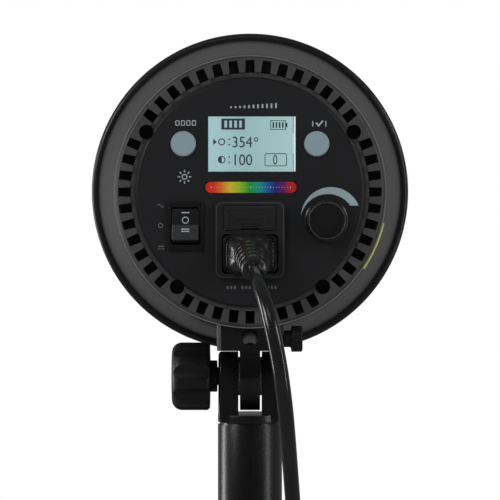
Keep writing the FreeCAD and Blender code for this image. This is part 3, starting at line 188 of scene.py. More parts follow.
def display_glass():
    """Lit LCD seen through its window: pale cyan, brighter toward the lower right."""
    material, tree, bsdf = node_tree("display_glass")
    coords = tree.nodes.new("ShaderNodeTexCoord")
    gradient = tree.nodes.new("ShaderNodeTexGradient")
    mapping = tree.nodes.new("ShaderNodeMapping")
    low, high = (Vector(corner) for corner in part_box("lcd_window"))
    mapping.inputs["Location"].default_value = (-low.x / (high.x - low.x), 0, 0)
    mapping.inputs["Scale"].default_value = (1 / (high.x - low.x), 0, 0)
    tree.links.new(coords.outputs["Object"], mapping.inputs["Vector"])
    tree.links.new(mapping.outputs["Vector"], gradient.inputs["Vector"])
    colour = ramp(tree, gradient.outputs["Fac"],
                  [(0.0, (0.36, 0.54, 0.57)), (0.4, (0.29, 0.46, 0.48)), (1.0, (0.37, 0.55, 0.55))])
    tree.links.new(colour, bsdf.inputs["Base Color"])
    tree.links.new(colour, bsdf.inputs["Emission Color"])
    bsdf.inputs["Emission Strength"].default_value = 0.12
    fine = noise(tree, 4000.0)
    tree.links.new(spread(tree, fine, 0.10, 0.18), bsdf.inputs["Roughness"])
    bump(tree, bsdf, fine, 0.000001)
    return material


def frosted_diffuser():
    """Frosted milky front sheet with fine grain."""
    material, tree, bsdf = node_tree("frosted_diffuser")
    drift = noise(tree, 30.0)
    milky = ramp(tree, drift, [(0.2, grey(0.80)), (0.8, (0.86, 0.86, 0.84))])
    tree.links.new(milky, bsdf.inputs["Base Color"])
    bsdf.inputs["Subsurface Weight"].default_value = 0.15
    bsdf.inputs["Subsurface Radius"].default_value = (0.003, 0.003, 0.003)
    fine = noise(tree, 2600.0)
    tree.links.new(spread(tree, fine, 0.45, 0.6), bsdf.inputs["Roughness"])
    bump(tree, bsdf, fine, 0.00002)
    return material


def hook_and_loop():
    """Woven nylon band with a fuzzy face."""
    material, tree, bsdf = node_tree("hook_and_loop")
    fine = noise(tree, 2200.0, 6.0)
    tree.links.new(ramp(tree, fine, [(0.3, grey(0.008)), (0.7, grey(0.035))]), bsdf.inputs["Base Color"])
    bsdf.inputs["Roughness"].default_value = 0.9
    bsdf.inputs["Sheen Weight"].default_value = 0.3
    bump(tree, bsdf, fine, 0.0003)
    return material


M = {
    "shell": surface("shell_black", (0.0165, 0.0155, 0.0145), 0.40, 2600.0, 0.000012, 0.12),
    "cover": surface("cover_plastic", grey(0.042), 0.50, 2200.0, 0.00003, level=0.45),
    "bezel": surface("bezel_plastic", grey(0.009), 0.34, 2600.0, 0.00001, level=0.4),
    "panel": surface("panel_print", (0.0112, 0.0114, 0.0128), 0.48, 3200.0, 0.000012, 0.10,
                     patch=25.0, level=0.35),
    "button": surface("button_plastic", (0.200, 0.275, 0.305), 0.42, 2400.0, 0.00001, 0.05),
    "ink": surface("printed_ink", (0.30, 0.33, 0.34), 0.6, 4000.0, 0.000004, 0.08),
    "faint_ink": surface("worn_ink", (0.085, 0.090, 0.095), 0.6, 4000.0, 0.000004, 0.12),
    "hue_ink": surface("hue_ink", (0.62, 0.58, 0.52), 0.6, 4000.0, 0.000004, 0.08),
    "crescent": surface("printed_scale", (0.245, 0.325, 0.345), 0.5, 3000.0, 0.000004, 0.05),
    "segment": surface("display_segment", (0.030, 0.038, 0.055), 0.4, 4000.0, 0.000002, 0.10),
    "white_edge": surface("display_edge", (0.85, 0.92, 0.95), 0.3, 4000.0, 0.000002, 0.03),
    "blue_edge": surface("display_bleed", (0.10, 0.16, 0.50), 0.3, 4000.0, 0.000002, 0.05),
    "knob": surface("knob_plastic", grey(0.0062), 0.42, 2600.0, 0.00003, level=0.35),
    "dimmer": surface("dimmer_plastic", grey(0.0075), 0.24, 3000.0, 0.00001, level=0.4),
    "switch": surface("switch_plastic", grey(0.0045), 0.45, 3000.0, 0.00002, level=0.35),
    "rocker": surface("rocker_plastic", (0.0095, 0.0100, 0.0112), 0.28, 3500.0, 0.000008),
    "inlet": surface("inlet_plastic", grey(0.0135), 0.40, 3200.0, 0.00002, level=0.4),
    # Raised marks on the fuse drawer, lighter than its plastic: painted highlight for the light their raised
    # edges catch.
    "relief": surface("inlet_relief", grey(0.022), 0.35, 3200.0, 0.00002, level=0.5),
    # Thin rims in light grey: painted highlights for the bright lines that their rounded edges catch.
    "edge": surface("edge_highlight_paint", grey(0.05), 0.35, 2600.0, 0.00001, 0.15),
    # Cover rim ring in light grey: a painted highlight for the bright line its rounded edge catches.
    "lip": surface("cover_lip_highlight", grey(0.12), 0.35, 2600.0, 0.00001, 0.15),
    "bracket": surface("bracket_paint", grey(0.0055), 0.38, 3000.0, 0.00003, level=0.4),
    "adapter": surface("adapter_paint", grey(0.0050), 0.30, 2600.0, 0.00002, level=0.45),
    "pvc": surface("cord_pvc", grey(0.0085), 0.17, 1500.0, 0.000002, 0.12, level=0.45,
                   rough_vary=0.04),
    "moulding": surface("connector_pvc", grey(0.0095), 0.23, 420.0, 0.00009, 0.15),
    "steel": surface("dark_steel", grey(0.06), 0.38, 2500.0, 0.00001, 0.2, metal=1.0),
    "bright": surface("plated_pin", (0.72, 0.70, 0.66), 0.22, 2500.0, 0.000006, 0.06, metal=1.0),
    "alloy": surface("milled_alloy", (0.62, 0.62, 0.64), 0.35, 900.0, 0.00001, 0.06, metal=1.0,
                     stretch=(1, 1, 8)),
    "white": surface("white_plastic", grey(0.78), 0.35, 2500.0, 0.000008, 0.03),
    "nylon": surface("nylon_washer", (0.70, 0.70, 0.67), 0.45, 2500.0, 0.00001, 0.04),
    "board": surface("circuit_board", (0.02, 0.14, 0.06), 0.4, 2500.0, 0.00001, 0.1),
    "led": surface("led_phosphor", (0.80, 0.62, 0.14), 0.5, 4000.0, 0.00001, 0.08),
    "yellow": surface("yellow_film", (0.66, 0.70, 0.11), 0.4, 3000.0, 0.000006, 0.06),
    "hue": hue_bar(),
    "display": display_glass(),
    "diffuser": frosted_diffuser(),
    "band": hook_and_loop(),
}

CAD_LOOKS = {
    "shell": ["housing"],
    "cover": ["rear_cover"],
    "bezel": ["front_bezel"],
    "panel": ["control_panel"],
    "diffuser": ["diffuser"],
    "white": ["reflector", "led_board"],
    "led": ["led_chips"],
    "yellow": ["accent_strip"],
    "alloy": ["heat_sink"],
    "switch": ["fan_frame", "fan_rotor", "switch_frame", "dimmer_body"],
    "board": ["power_board", "control_board"],
    "hue": ["hue_strip"],
    "display": ["lcd_window", "lcd_module"],
    "button": ["mode_button", "set_button"],
    "dimmer": ["dimmer_knob"],
    "steel": ["dimmer_shaft", "tilt_bolt", "stand_screw", "umbrella_screw", "bracket_screw_1",
              "bracket_screw_2", "cover_screw_1", "cover_screw_2", "cover_screw_3", "cover_screw_4"],
    "rocker": ["power_rocker"],
    "inlet": ["inlet_body", "fuse_drawer"],
    "bright": ["inlet_pin_line", "inlet_pin_neutral", "inlet_pin_earth", "fuse", "plug_pins"],
    "bracket": ["bracket"],
    "knob": ["umbrella_wheel", "tilt_hub", "tilt_knob", "stand_knob"],
    "adapter": ["stand_tube", "stand_clevis"],
    "nylon": ["friction_washer_left", "friction_washer_right"],
    "pvc": ["mains_cord", "cord_tail", "cord_coil", "strain_relief", "line_connector", "plug_body"],
    "band": ["cord_tie"],
}
SOFT_EDGES = {"rear_cover": 0.25, "control_panel": 0.2, "bracket": 0.5, "stand_clevis": 0.35,
              "stand_tube": 0.2, "switch_frame": 0.4, "power_rocker": 0.25, "inlet_body": 0.35,
              "fuse_drawer": 0.3, "tilt_hub": 0.25, "umbrella_wheel": 0.2, "tilt_knob": 0.4,
              "stand_knob": 0.3, "dimmer_knob": 0.25, "fan_frame": 0.3, "housing": 0.2}


def dress(item, look):
    item.data.materials.clear()
    item.data.materials.append(M[look])


WELD_DISTANCE = 0.000005
SHARP_ANGLE = math.radians(35)


def soften(item, width):
    """Round a hard-edged piece a little, so that its edges catch the light."""
    weld = item.modifiers.new("weld", "WELD")
    weld.merge_threshold = WELD_DISTANCE
    bevel = item.modifiers.new("soft_edges", "BEVEL")
    bevel.width = width * MM
    bevel.segments = 2
    bevel.limit_method = "ANGLE"
    bevel.angle_limit = SHARP_ANGLE
    bevel.use_clamp_overlap = True
    bevel.harden_normals = False


for look, names in CAD_LOOKS.items():
    for name in names:
        dress(nodes[name], look)
for name, width in SOFT_EDGES.items():
    soften(nodes[name], width)


# ---------------------------------------------------------------- mesh helpers

def place(name, data, body, slot):
    """Put a finished mesh in the scene as a piece that rides on a CAD body."""
    item = bpy.data.objects.new(name, data)
    bpy.context.scene.collection.objects.link(item)
    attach(item, body)
    return item


def smooth_mesh(name, vertices, faces, look, body, slot):
    """A smooth-shaded piece from vertices and faces."""
    data = bpy.data.meshes.new(name)
    data.from_pydata([tuple(vertex) for vertex in vertices], [], faces)
    data.validate()
    bm = bmesh.new()
    bm.from_mesh(data)
    bmesh.ops.remove_doubles(bm, verts=bm.verts, dist=1e-7)
    bmesh.ops.recalc_face_normals(bm, faces=bm.faces)
    for face in bm.faces:
        face.smooth = True
    bm.to_mesh(data)
    bm.free()
    data.materials.append(M[look])
    return place(name, data, body, slot)


def loft(name, rings, look, body, slot, closed=False):
    """A skin over rings of equal length, capped at both ends unless it closes on itself."""
    count = len(rings[0])
    vertices = [point for ring in rings for point in ring]
    faces = []
    spans = len(rings) if closed else len(rings) - 1
    for i in range(spans):
        a, b = i * count, (i + 1) % len(rings) * count
        for j in range(count):
            k = (j + 1) % count
            faces.append((a + j, a + k, b + k, b + j))
    if not closed:
        faces.append(tuple(reversed(range(count))))
        faces.append(tuple(range(len(vertices) - count, len(vertices))))
    return smooth_mesh(name, vertices, faces, look, body, slot)


def plate(name, outline, holes, lift, depth, look, body, slot):
    """A thin plate on the panel, from outlines in millimetres about the lamp axis."""
    bm = bmesh.new()
    edges = []
    for loop in [outline] + holes:
        ring = [bm.verts.new(on_panel(x, z, lift)) for x, z in loop]
        edges += [bm.edges.new((ring[i], ring[(i + 1) % len(ring)])) for i in range(len(ring))]
    bmesh.ops.triangle_fill(bm, use_beauty=True, use_dissolve=False, edges=edges)
    extruded = bmesh.ops.extrude_face_region(bm, geom=bm.faces[:])
    moved = [part for part in extruded["geom"] if isinstance(part, bmesh.types.BMVert)]
    bmesh.ops.translate(bm, verts=moved, vec=(0, depth * MM, 0))
    bmesh.ops.recalc_face_normals(bm, faces=bm.faces)
    data = bpy.data.meshes.new(name)
    bm.to_mesh(data)
    bm.free()
    data.materials.append(M[look])
    return place(name, data, body, slot)


def rectangle(x, z, width, height):
    return [(x - width / 2, z - height / 2), (x + width / 2, z - height / 2),
            (x + width / 2, z + height / 2), (x - width / 2, z + height / 2)]


def round_rectangle(x, z, width, height, corner, steps=5):
    points = []
    for turn, sx, sz in ((0, 1, 1), (90, -1, 1), (180, -1, -1), (270, 1, -1)):
        cx, cz = x + sx * (width / 2 - corner), z + sz * (height / 2 - corner)
        for step in range(steps + 1):
            angle = math.radians(turn + 90 * step / steps)
            points.append((cx + corner * math.cos(angle), cz + corner * math.sin(angle)))
    return points


def arc(x, z, radius, start, end, steps=32):
    return [(x + radius * math.cos(math.radians(start + (end - start) * i / steps)),
             z + radius * math.sin(math.radians(start + (end - start) * i / steps)))
            for i in range(steps + 1)]


def disc(x, z, radius, steps=32):
    return arc(x, z, radius, 0, 360 * (steps - 1) / steps, steps - 1)


INK = {"lift": 0.03, "depth": 0.025, "look": "ink", "body": "head", "slot": "button_grey"}


def print_mark(name, outline, holes=(), **changes):
    """A printed mark: a skin of ink on the panel."""
    facts = {**INK, **changes}
    return plate(name, outline, list(holes), **facts)


# ---------------------------------------------------------------- panel prints

def draw_crescent():
    """Dimmer scale: the crescent between two circles, cut level at its right end."""
    ox, oz, outer = 34.6, -10.7, 12.8
    ix, iz, inner = 33.3, -12.6, 11.75
    level = -5.8
    gap = math.hypot(ix - ox, iz - oz)
    along = (outer ** 2 - inner ** 2 + gap ** 2) / (2 * gap)
    half = math.sqrt(outer ** 2 - along ** 2)
    ux, uz = (ix - ox) / gap, (iz - oz) / gap
    crossings = [(ox + along * ux - side * half * uz, oz + along * uz + side * half * ux)
                 for side in (-1, 1)]
    tip = min(crossings, key=lambda spot: spot[0])
    outer_start = math.degrees(math.atan2(tip[1] - oz, tip[0] - ox))
    inner_start = math.degrees(math.atan2(tip[1] - iz, tip[0] - ix))
    outer_end = math.degrees(math.asin((level - oz) / outer))
    inner_end = math.degrees(math.asin((level - iz) / inner))
    path = arc(ox, oz, outer, outer_start % 360, outer_end, 40)
    back = arc(ix, iz, inner, inner_end, inner_start % 360, 40)
    print_mark("dimmer_scale", path + back[:-1], look="crescent")


def draw_marks():
    """Generic marks where the panel carries its legends."""
    for number in range(11):
        height = 0.7 + 0.15 * number
        tick = rectangle(-8.1 + number * 1.92, 35.8 + height / 2, 0.75, height)
        print_mark(f"level_tick_{number}", tick)
    for number in range(4):
        x = -31.0 + number * 2.35
        print_mark(f"mode_box_{number}", round_rectangle(x, 29.45, 1.75, 2.3, 0.4),
                   [round_rectangle(x, 29.45, 1.05, 1.6, 0.25)])
    print_mark("set_mark", [(27.9, 29.3), (28.5, 29.8), (29.3, 28.8), (30.9, 30.7), (31.4, 30.2),
                            (29.3, 27.8)])
    for side in (-1, 1):
        print_mark(f"set_bar_{side + 1}", rectangle(29.6 + side * 2.8, 29.1, 0.45, 2.4))
    sun_x, sun_z = -28.0, 6.5
    ray = ((1.9, -0.26), (2.9, -0.26), (2.9, 0.26), (1.9, 0.26))
    print_mark("sun_disc", disc(sun_x, sun_z, 1.25, 24), [disc(sun_x, sun_z, 0.8, 24)])
    for number in range(8):
        angle = math.radians(45 * number)
        c, t = math.cos(angle), math.sin(angle)
        print_mark(f"sun_ray_{number}", [(sun_x + r * c - w * t, sun_z + r * t + w * c) for r, w in ray])
    wave = [(-39.6 + 0.25 * i, -5.8 + 0.6 * math.sin(2 * math.pi * i / 12)) for i in range(13)]
    faint = {"look": "faint_ink"}
    above, below = ([(x, z + side * 0.24) for x, z in wave] for side in (1, -1))
    print_mark("mains_mark", above + below[::-1], **faint)
    print_mark("off_mark", disc(-38.2, -14.3, 1.1, 24), [disc(-38.2, -14.3, 0.7, 24)], **faint)
    print_mark("battery_mark_plus", rectangle(-38.0, -23.2, 2.6, 0.45), **faint)
    for side in (-1, 0, 1):
        print_mark(f"battery_mark_minus_{side + 1}", rectangle(-38.0 + side * 1.0, -24.3, 0.6, 0.45), **faint)
    for number in range(14):
        if number not in (3, 10):
            print_mark(f"rating_tick_{number}", rectangle(-9.6 + number * 1.58, -40.8, 0.85, 1.3), **faint)
    for number in range(29):
        height = 0.7 if number % 7 == 0 else 0.3
        print_mark(f"hue_tick_{number}", rectangle(-16.6 + number * 1.21, 2.0, 0.22, height), lift=0.06,
                   depth=0.05, look="hue_ink")


def draw_display():
    """What the LCD shows: plain figures, a battery, a pointer and boxes."""
    facts = {"lift": -0.26, "depth": 0.02, "look": "segment", "body": "head", "slot": "lcd_module"}
    column, upper, lower = -12.1, 21.4, 13.8
    plate("display_title", rectangle(-7.2, 29.0, 10.1, 4.7),
          [rectangle(-7.2 + 2.1 * step, 29.0, 1.1, 3.0) for step in (-1.5, -0.5, 0.5, 1.5)], **facts)
    plate("display_battery", rectangle(12.0, 28.6, 6.6, 4.0), [rectangle(12.0, 28.6, 6.0, 3.4)], **facts)
    plate("display_battery_cap", rectangle(15.65, 28.6, 0.6, 1.9), [], **facts)
    for number in range(4):
        plate(f"display_charge_{number}", rectangle(9.95 + number * 1.35, 28.6, 0.7, 2.4), [], **facts)
    plate("display_pointer", [(-15.7, 20.1), (-14.2, 21.4), (-15.7, 22.7)], [], **facts)
    plate("display_ring", disc(column, upper, 1.5), [disc(column, upper, 1.05)], **facts)
    plate("display_dial", disc(column, lower, 1.6), [disc(column, lower, 1.2)], **facts)
    plate("display_half", arc(column, lower, 1.2, 90, 270), [], **facts)
    for number, z in enumerate((upper, lower)):
        for side in (-1, 1):
            dot = rectangle(-8.9, z + side * 1.1, 0.6, 0.6)
            plate(f"display_colon_{number}_{side + 1}", dot, [], **facts)
    plate("display_degree", disc(2.6, 22.4, 0.95, 20), [disc(2.6, 22.4, 0.55, 20)], **facts)
    plate("display_box", round_rectangle(11.0, lower, 9.5, 5.5, 0.8),
          [round_rectangle(11.0, lower, 8.9, 4.9, 0.5)], **facts)
    plate("display_white_edge", rectangle(19.05, 20.5, 0.75, 23.4), [], **{**facts, "look": "white_edge"})
    for number, (z, height) in enumerate(((28.6, 7.2), (12.6, 7.8))):
        bleed = rectangle(18.5, z, 0.35, height)
        plate(f"display_blue_edge_{number}", bleed, [], **{**facts, "look": "blue_edge"})
    for name, text, x, z, size, narrow in (("display_value_upper", "354", -7.8, 19.1, 6.6, 0.90),
                                           ("display_value_lower", "100", -7.8, 11.5, 6.6, 0.90),
                                           ("display_value_box", "0", 9.7, 11.8, 5.9, 0.72)):
        figures(name, text, x, z, size, narrow)


def figures(name, text, x, z, size, narrow):
    """Plain digits as a thin skin of mesh on the display."""
    curve = bpy.data.curves.new(name, "FONT")
    curve.body = text
    curve.size = size * MM
    curve.extrude = 0.00001
    source = bpy.data.objects.new(name + "_text", curve)
    bpy.context.scene.collection.objects.link(source)
    bpy.context.view_layer.update()
    data = bpy.data.meshes.new_from_object(source.evaluated_get(bpy.context.evaluated_depsgraph_get()))
    bpy.data.objects.remove(source)
    upright = Matrix.Rotation(math.radians(90), 4, "X")
    spot = Matrix.Translation(on_panel(x, z, -0.255))
    data.transform(spot @ upright @ Matrix.Diagonal((narrow, 1, 1, 1)))
    data.materials.clear()
    data.materials.append(M["segment"])
    place(name, data, "head", "lcd_module")


def draw_rocker_marks():
    """Bar, ring and double bar on the rocker's face, which leans as the rocker does."""
    x = (centre_of("power_rocker").x - HEAD.x) / MM
    for name, outline, holes in (
            ("rocker_bar", rectangle(x, ROCKER_Z + 5.2, 3.4, 0.5), []),
            ("rocker_ring", disc(x, ROCKER_Z + 2.0, 1.5, 28), [disc(x, ROCKER_Z + 2.0, 1.1, 28)]),
            ("rocker_double_a", rectangle(x, ROCKER_Z - 1.9, 3.4, 0.5), []),
            ("rocker_double_b", rectangle(x, ROCKER_Z - 2.9, 3.4, 0.5), [])):
        lay_on_rocker(plate(name, outline, holes, 0.0, 0.05, "ink", "power_rocker", "button_grey"))


# The rocker in millimetres: its pivot behind the panel's face, and about the pivot its face at the
# middle, the face's rise to either end, and its half height. At rest it leans by ROCKER_REST.
ROCKER_PIVOT = 0.8
ROCKER_FACE = -2.3
ROCKER_RISE = 1.2
ROCKER_HALF = 8.475
ROCKER_REST = math.radians(12.0)
INK_PROUD = 0.03


def lay_on_rocker(item):
    """Bring a flat mark onto the rocker's two leaning faces."""
    for vertex in item.data.vertices:
        z = (vertex.co.z - HEAD.z) / MM - ROCKER_Z
        sunk = (vertex.co.y - FACE) / MM
        y = ROCKER_FACE - ROCKER_RISE * abs(z) / ROCKER_HALF - INK_PROUD + sunk
        turned_y = y * math.cos(ROCKER_REST) + z * math.sin(ROCKER_REST)
        turned_z = -y * math.sin(ROCKER_REST) + z * math.cos(ROCKER_REST)
        vertex.co.y = FACE + (ROCKER_PIVOT + turned_y) * MM
        vertex.co.z = HEAD.z + (ROCKER_Z + turned_z) * MM
    item.data.update()


draw_crescent()
draw_marks()
draw_display()
draw_rocker_marks()


# ---------------------------------------------------------------- mains inlet details

def draw_inlet_relief():
    """Raised fuse outline and finger grip on the drawer, and the socket's raised rim."""
    # The lighter relief grey is a painted highlight on the raised marks.
    facts = {"body": "fuse_drawer", "slot": "inlet_black", "look": "relief"}
    lift = 3.25
    plate("drawer_frame", round_rectangle(0, -11.0, 20.4, 8.6, 0.8),
          [round_rectangle(0, -11.0, 19.6, 7.8, 0.5)], lift, 0.3, **facts)
    for side in (-1, 1):
        plate(f"fuse_outline_cap_{side + 1}", round_rectangle(side * 4.9, -12.0, 3.2, 3.6, 0.5),
              [round_rectangle(side * 4.9, -12.0, 2.5, 2.9, 0.3)], lift, 0.3, **facts)
        bar = rectangle(0, -12.0 + side * 1.0, 6.6, 0.35)
        plate(f"fuse_outline_bar_{side + 1}", bar, [], lift, 0.3, **facts)
    plate("socket_rim", round_rectangle(0, SOCKET_Z, 26.0, 18.8, 2.4),
          [round_rectangle(0, SOCKET_Z, 24.2, 17.0, 1.8)], 2.95, 0.5, "inlet", "head", "inlet_black")


def rounded_ring(centre, width, height, corner, steps=6):
    """A rounded rectangle in space, parallel to the panel."""
    return [centre + Vector((x * MM, 0, z * MM))
            for x, z in round_rectangle(0, 0, width, height, corner, steps)]


def draw_connector():
    """Moulded line connector: a waisted grip that domes into the strain relief."""
    # Each ring: how far out from the panel, its width, its height and its corner radius.
    profile = [(-8.0, 23.6, 16.4, 3.0), (2.3, 23.6, 16.4, 3.0), (2.7, 22.8, 16.8, 3.6),
               (3.6, 20.8, 16.9, 4.0), (6.0, 20.2, 16.9, 4.2), (9.0, 19.8, 16.7, 4.3),
               (12.0, 19.6, 16.5, 4.4), (14.5, 19.6, 16.4, 4.4), (16.5, 18.9, 15.9, 4.6),
               (18.5, 17.4, 14.9, 4.9), (20.3, 15.6, 13.8, 5.2), (21.8, 13.8, 12.8, 5.6),
               (23.2, 12.2, 11.8, 5.8)]
    rings = [rounded_ring(on_panel(0, SOCKET_Z, out), width, height, corner)
             for out, width, height, corner in profile]
    grip = loft("connector_grip", rings, "moulding", "head", "cord_pvc")
    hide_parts("line_connector")
    for side in (-1, 1):
        for number in range(5):
            draw_finger_rib(side, number)
    return grip


def draw_finger_rib(side, number):
    """One upright rib on a side of the grip, fading out toward its ends."""
    half_width, half_height, first, step = 9.65, 5.2, 6.0, 2.6
    bulge = 0.1925
    section = ((-0.8, -0.7), (0.0, -0.45), (0.25, 0), (0.0, 0.45), (-0.8, 0.7))
    spot = on_panel(side * half_width, SOCKET_Z, first + number * step)
    bar = []
    for angle in (math.radians(-80 + 20 * stage) for stage in range(9)):
        z = half_height * math.sin(angle)
        bar.append([spot + Vector((side * (bulge * math.cos(angle) + across) * MM, along * MM, z * MM))
                    for across, along in section])
    loft(f"connector_rib_{side + 1}_{number}", bar, "moulding", "head", "cord_pvc")


# Route of the cord, as in the CAD: from the strain relief to the coil, and from the coil to the
# plug. The coil's turns lie between the two.
HANG = [
    (0.0018, -0.0850, 0.1343), (0.0029, -0.0986, 0.1311), (0.0060, -0.1094, 0.1228),
    (0.0092, -0.1162, 0.1104), (0.0120, -0.1175, 0.0963), (0.0142, -0.1125, 0.0800),
    (0.0157, -0.1022, 0.0630), (0.0171, -0.0894, 0.0454), (0.0186, -0.0786, 0.0264),
    (0.0198, -0.0718, 0.0054), (0.0204, -0.0692, -0.0140), (0.0200, -0.0665, -0.0300),
]
TAIL = [
    (0.0256, -0.0632, -0.0340), (0.0252, -0.0626, -0.0540), (0.0234, -0.0618, -0.0740),
    (0.0206, -0.0612, -0.0930), (0.0190, -0.0610, -0.1120),
]
COIL_CENTRE = Vector((-0.0175, -0.060, -0.030))
COIL_RADIUS = 0.0375
CORD_RADIUS = 0.00315
COIL_TURNS = 5
TURN_STEPS = 14
TURN_SPACING = 2.06 * CORD_RADIUS
LEAN_PER_TURN = math.radians(60)


def coil_turns():
    """Points of the coil's turns, each a cord's width from the last round a common middle."""
    points = []
    for number in range(1, COIL_TURNS * TURN_STEPS):
        share = number / TURN_STEPS
        turn = -2 * math.pi * share
        lean = LEAN_PER_TURN * share + math.pi / 2
        reach = COIL_RADIUS + TURN_SPACING * math.cos(lean)
        points.append(COIL_CENTRE + Vector((reach * math.cos(turn), -TURN_SPACING * math.sin(lean),
                                            reach * math.sin(turn))))
    return points


def spline_object(name, points, bevel):
    """A smooth NURBS curve through a route's points."""
    curve = bpy.data.curves.new(name, "CURVE")
    curve.dimensions = "3D"
    curve.resolution_u = 10
    curve.bevel_depth = bevel
    curve.bevel_resolution = 6
    curve.use_fill_caps = bevel > 0
    spline = curve.splines.new("NURBS")
    spline.points.add(len(points) - 1)
    for point, place in zip(spline.points, points):
        point.co = (*place, 1.0)
    spline.order_u = 3
    spline.use_endpoint_u = True
    item = bpy.data.objects.new(name, curve)
    bpy.context.scene.collection.objects.link(item)
    return item


def as_mesh(item):
    bpy.context.view_layer.update()
    data = bpy.data.meshes.new_from_object(item.evaluated_get(bpy.context.evaluated_depsgraph_get()))
    bpy.data.objects.remove(item)
    return data


def draw_cord():
    """The whole lead as one smooth cord, from the head down to the stand adapter."""
    points = [Vector(point) for point in HANG] + coil_turns() + [Vector(point) for point in TAIL]
    line = as_mesh(spline_object("cord_line", points, 0.0))
    centreline = [vertex.co.copy() for vertex in line.vertices]
    data = as_mesh(spline_object("cord_tube", points, CORD_RADIUS))
    data.materials.clear()
    data.materials.append(M["pvc"])
    for face in data.polygons:
        face.use_smooth = True
    cord = bpy.data.objects.new("mains_lead", data)
    bpy.context.scene.collection.objects.link(cord)
    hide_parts("mains_cord", "cord_coil", "cord_tail")
    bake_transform(cord)
    length = sum((b - a).length for a, b in zip(centreline, centreline[1:]))
    return cord, centreline, length


def draw_relief(centreline):
    """Ribbed strain relief that droops from the connector onto the cord."""
    base_radius, tip_radius, groove_depth, grooves = 7.2, 5.3, 0.95, 5.5
    count, around = 60, 40
    start = on_panel(0, -26.2, 22.6)
    end = centreline[0]
    heading = (centreline[1] - centreline[0]).normalized()
    length = (end - start).length
    rings = []
    for number in range(count + 1):
        share = number / count
        # A quadratic bend: it leaves the connector level and ends along the cord.
        bend = end - heading * length * 0.5
        centre = start * (1 - share) ** 2 + bend * 2 * share * (1 - share) + end * share ** 2
        ahead = ((bend - start) * 2 * (1 - share) + (end - bend) * 2 * share).normalized()
        side = ahead.cross(Vector((0, 0, 1))).normalized()
        top = side.cross(ahead).normalized()
        radius = base_radius + (tip_radius - base_radius) * share
        if 0.04 < share < 0.93:
            radius -= groove_depth * max(0.0, math.sin(2 * math.pi * share * grooves - 0.6)) ** 3
        if share > 0.95:
            # The lip at the end is rounded off.
            radius *= 1 - 0.10 * (share - 0.95) / 0.05
        turns = (2 * math.pi * k / around for k in range(around))
        rings.append([centre + (side * math.cos(turn) + top * math.sin(turn)) * radius * MM
                      for turn in turns])
    relief = loft("relief_boot", rings, "moulding", "head", "cord_pvc")
    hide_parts("strain_relief")
    return relief


def edge_ring(name, node, inset, sink, section, look, body, slot):
    """A fine round lip on the rear edge of a round piece."""
    low, high = (Vector(corner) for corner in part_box(node))
    radius = (high.x - low.x) / 2 - inset * MM
    centre = Vector(((low.x + high.x) / 2, low.y + sink * MM, (low.z + high.z) / 2))
    around, sides = 180, 8
    rings = []
    for number in range(around):
        turn = 2 * math.pi * number / around
        out = Vector((math.cos(turn), 0, math.sin(turn)))
        corners = (2 * math.pi * k / sides for k in range(sides))
        rings.append([centre + out * radius + (out * math.cos(corner) + Vector((0, math.sin(corner), 0)))
                      * section * MM for corner in corners])
    loft(name, rings, look, body, slot, closed=True)


# Light grey ring round the rear cover: painted highlight on its edge.
edge_ring("cover_lip_highlight", "rear_cover", 0.25, 0.22, 0.24, "lip", "head", "cover_black")
# Light grey ring on the dimmer cap and thin frame round the inlet: painted highlights on their edges.
edge_ring("dimmer_lip", "dimmer_knob", 1.75, 0.05, 0.16, "edge", "dimmer", "knob_black")
plate("inlet_edge", round_rectangle(0, -20.4, 28.9, 32.0, 2.7),
      [round_rectangle(0, -20.4, 28.3, 31.4, 2.5)], 2.64, 0.05, "edge", "head", "inlet_black")
draw_inlet_relief()
connector_grip = draw_connector()
lead, lead_line, lead_length = draw_cord()
relief_boot = draw_relief(lead_line)


# ---------------------------------------------------------------- coil tie and plug

def draw_tie():
    """Hook-and-loop band round the coil, with its free end lapped over."""
    rings = []
    count, around = 16, 36
    half_span, band_radius, ripple_depth, lap_height = 15, 10.1, 0.12, 0.5
    for number in range(count + 1):
        angle = math.radians(90 + half_span * (2 * number / count - 1))
        out = Vector((math.cos(angle), 0, math.sin(angle)))
        middle = COIL_CENTRE + out * COIL_RADIUS
        ring = []
        for k in range(around):
            turn = 2 * math.pi * k / around
            ripple = ripple_depth * math.sin(6 * turn)
            lap = lap_height if 20 < k < 33 and 2 < number < 14 else 0.0
            radius = (band_radius + ripple + lap) * MM
            ring.append(middle + out * radius * math.cos(turn) + Vector((0, 1, 0)) * radius * math.sin(turn))
        rings.append(ring)
    band = loft("coil_band", rings, "band", "stand_adapter", "tie_fabric")
    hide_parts("cord_tie")
    return band


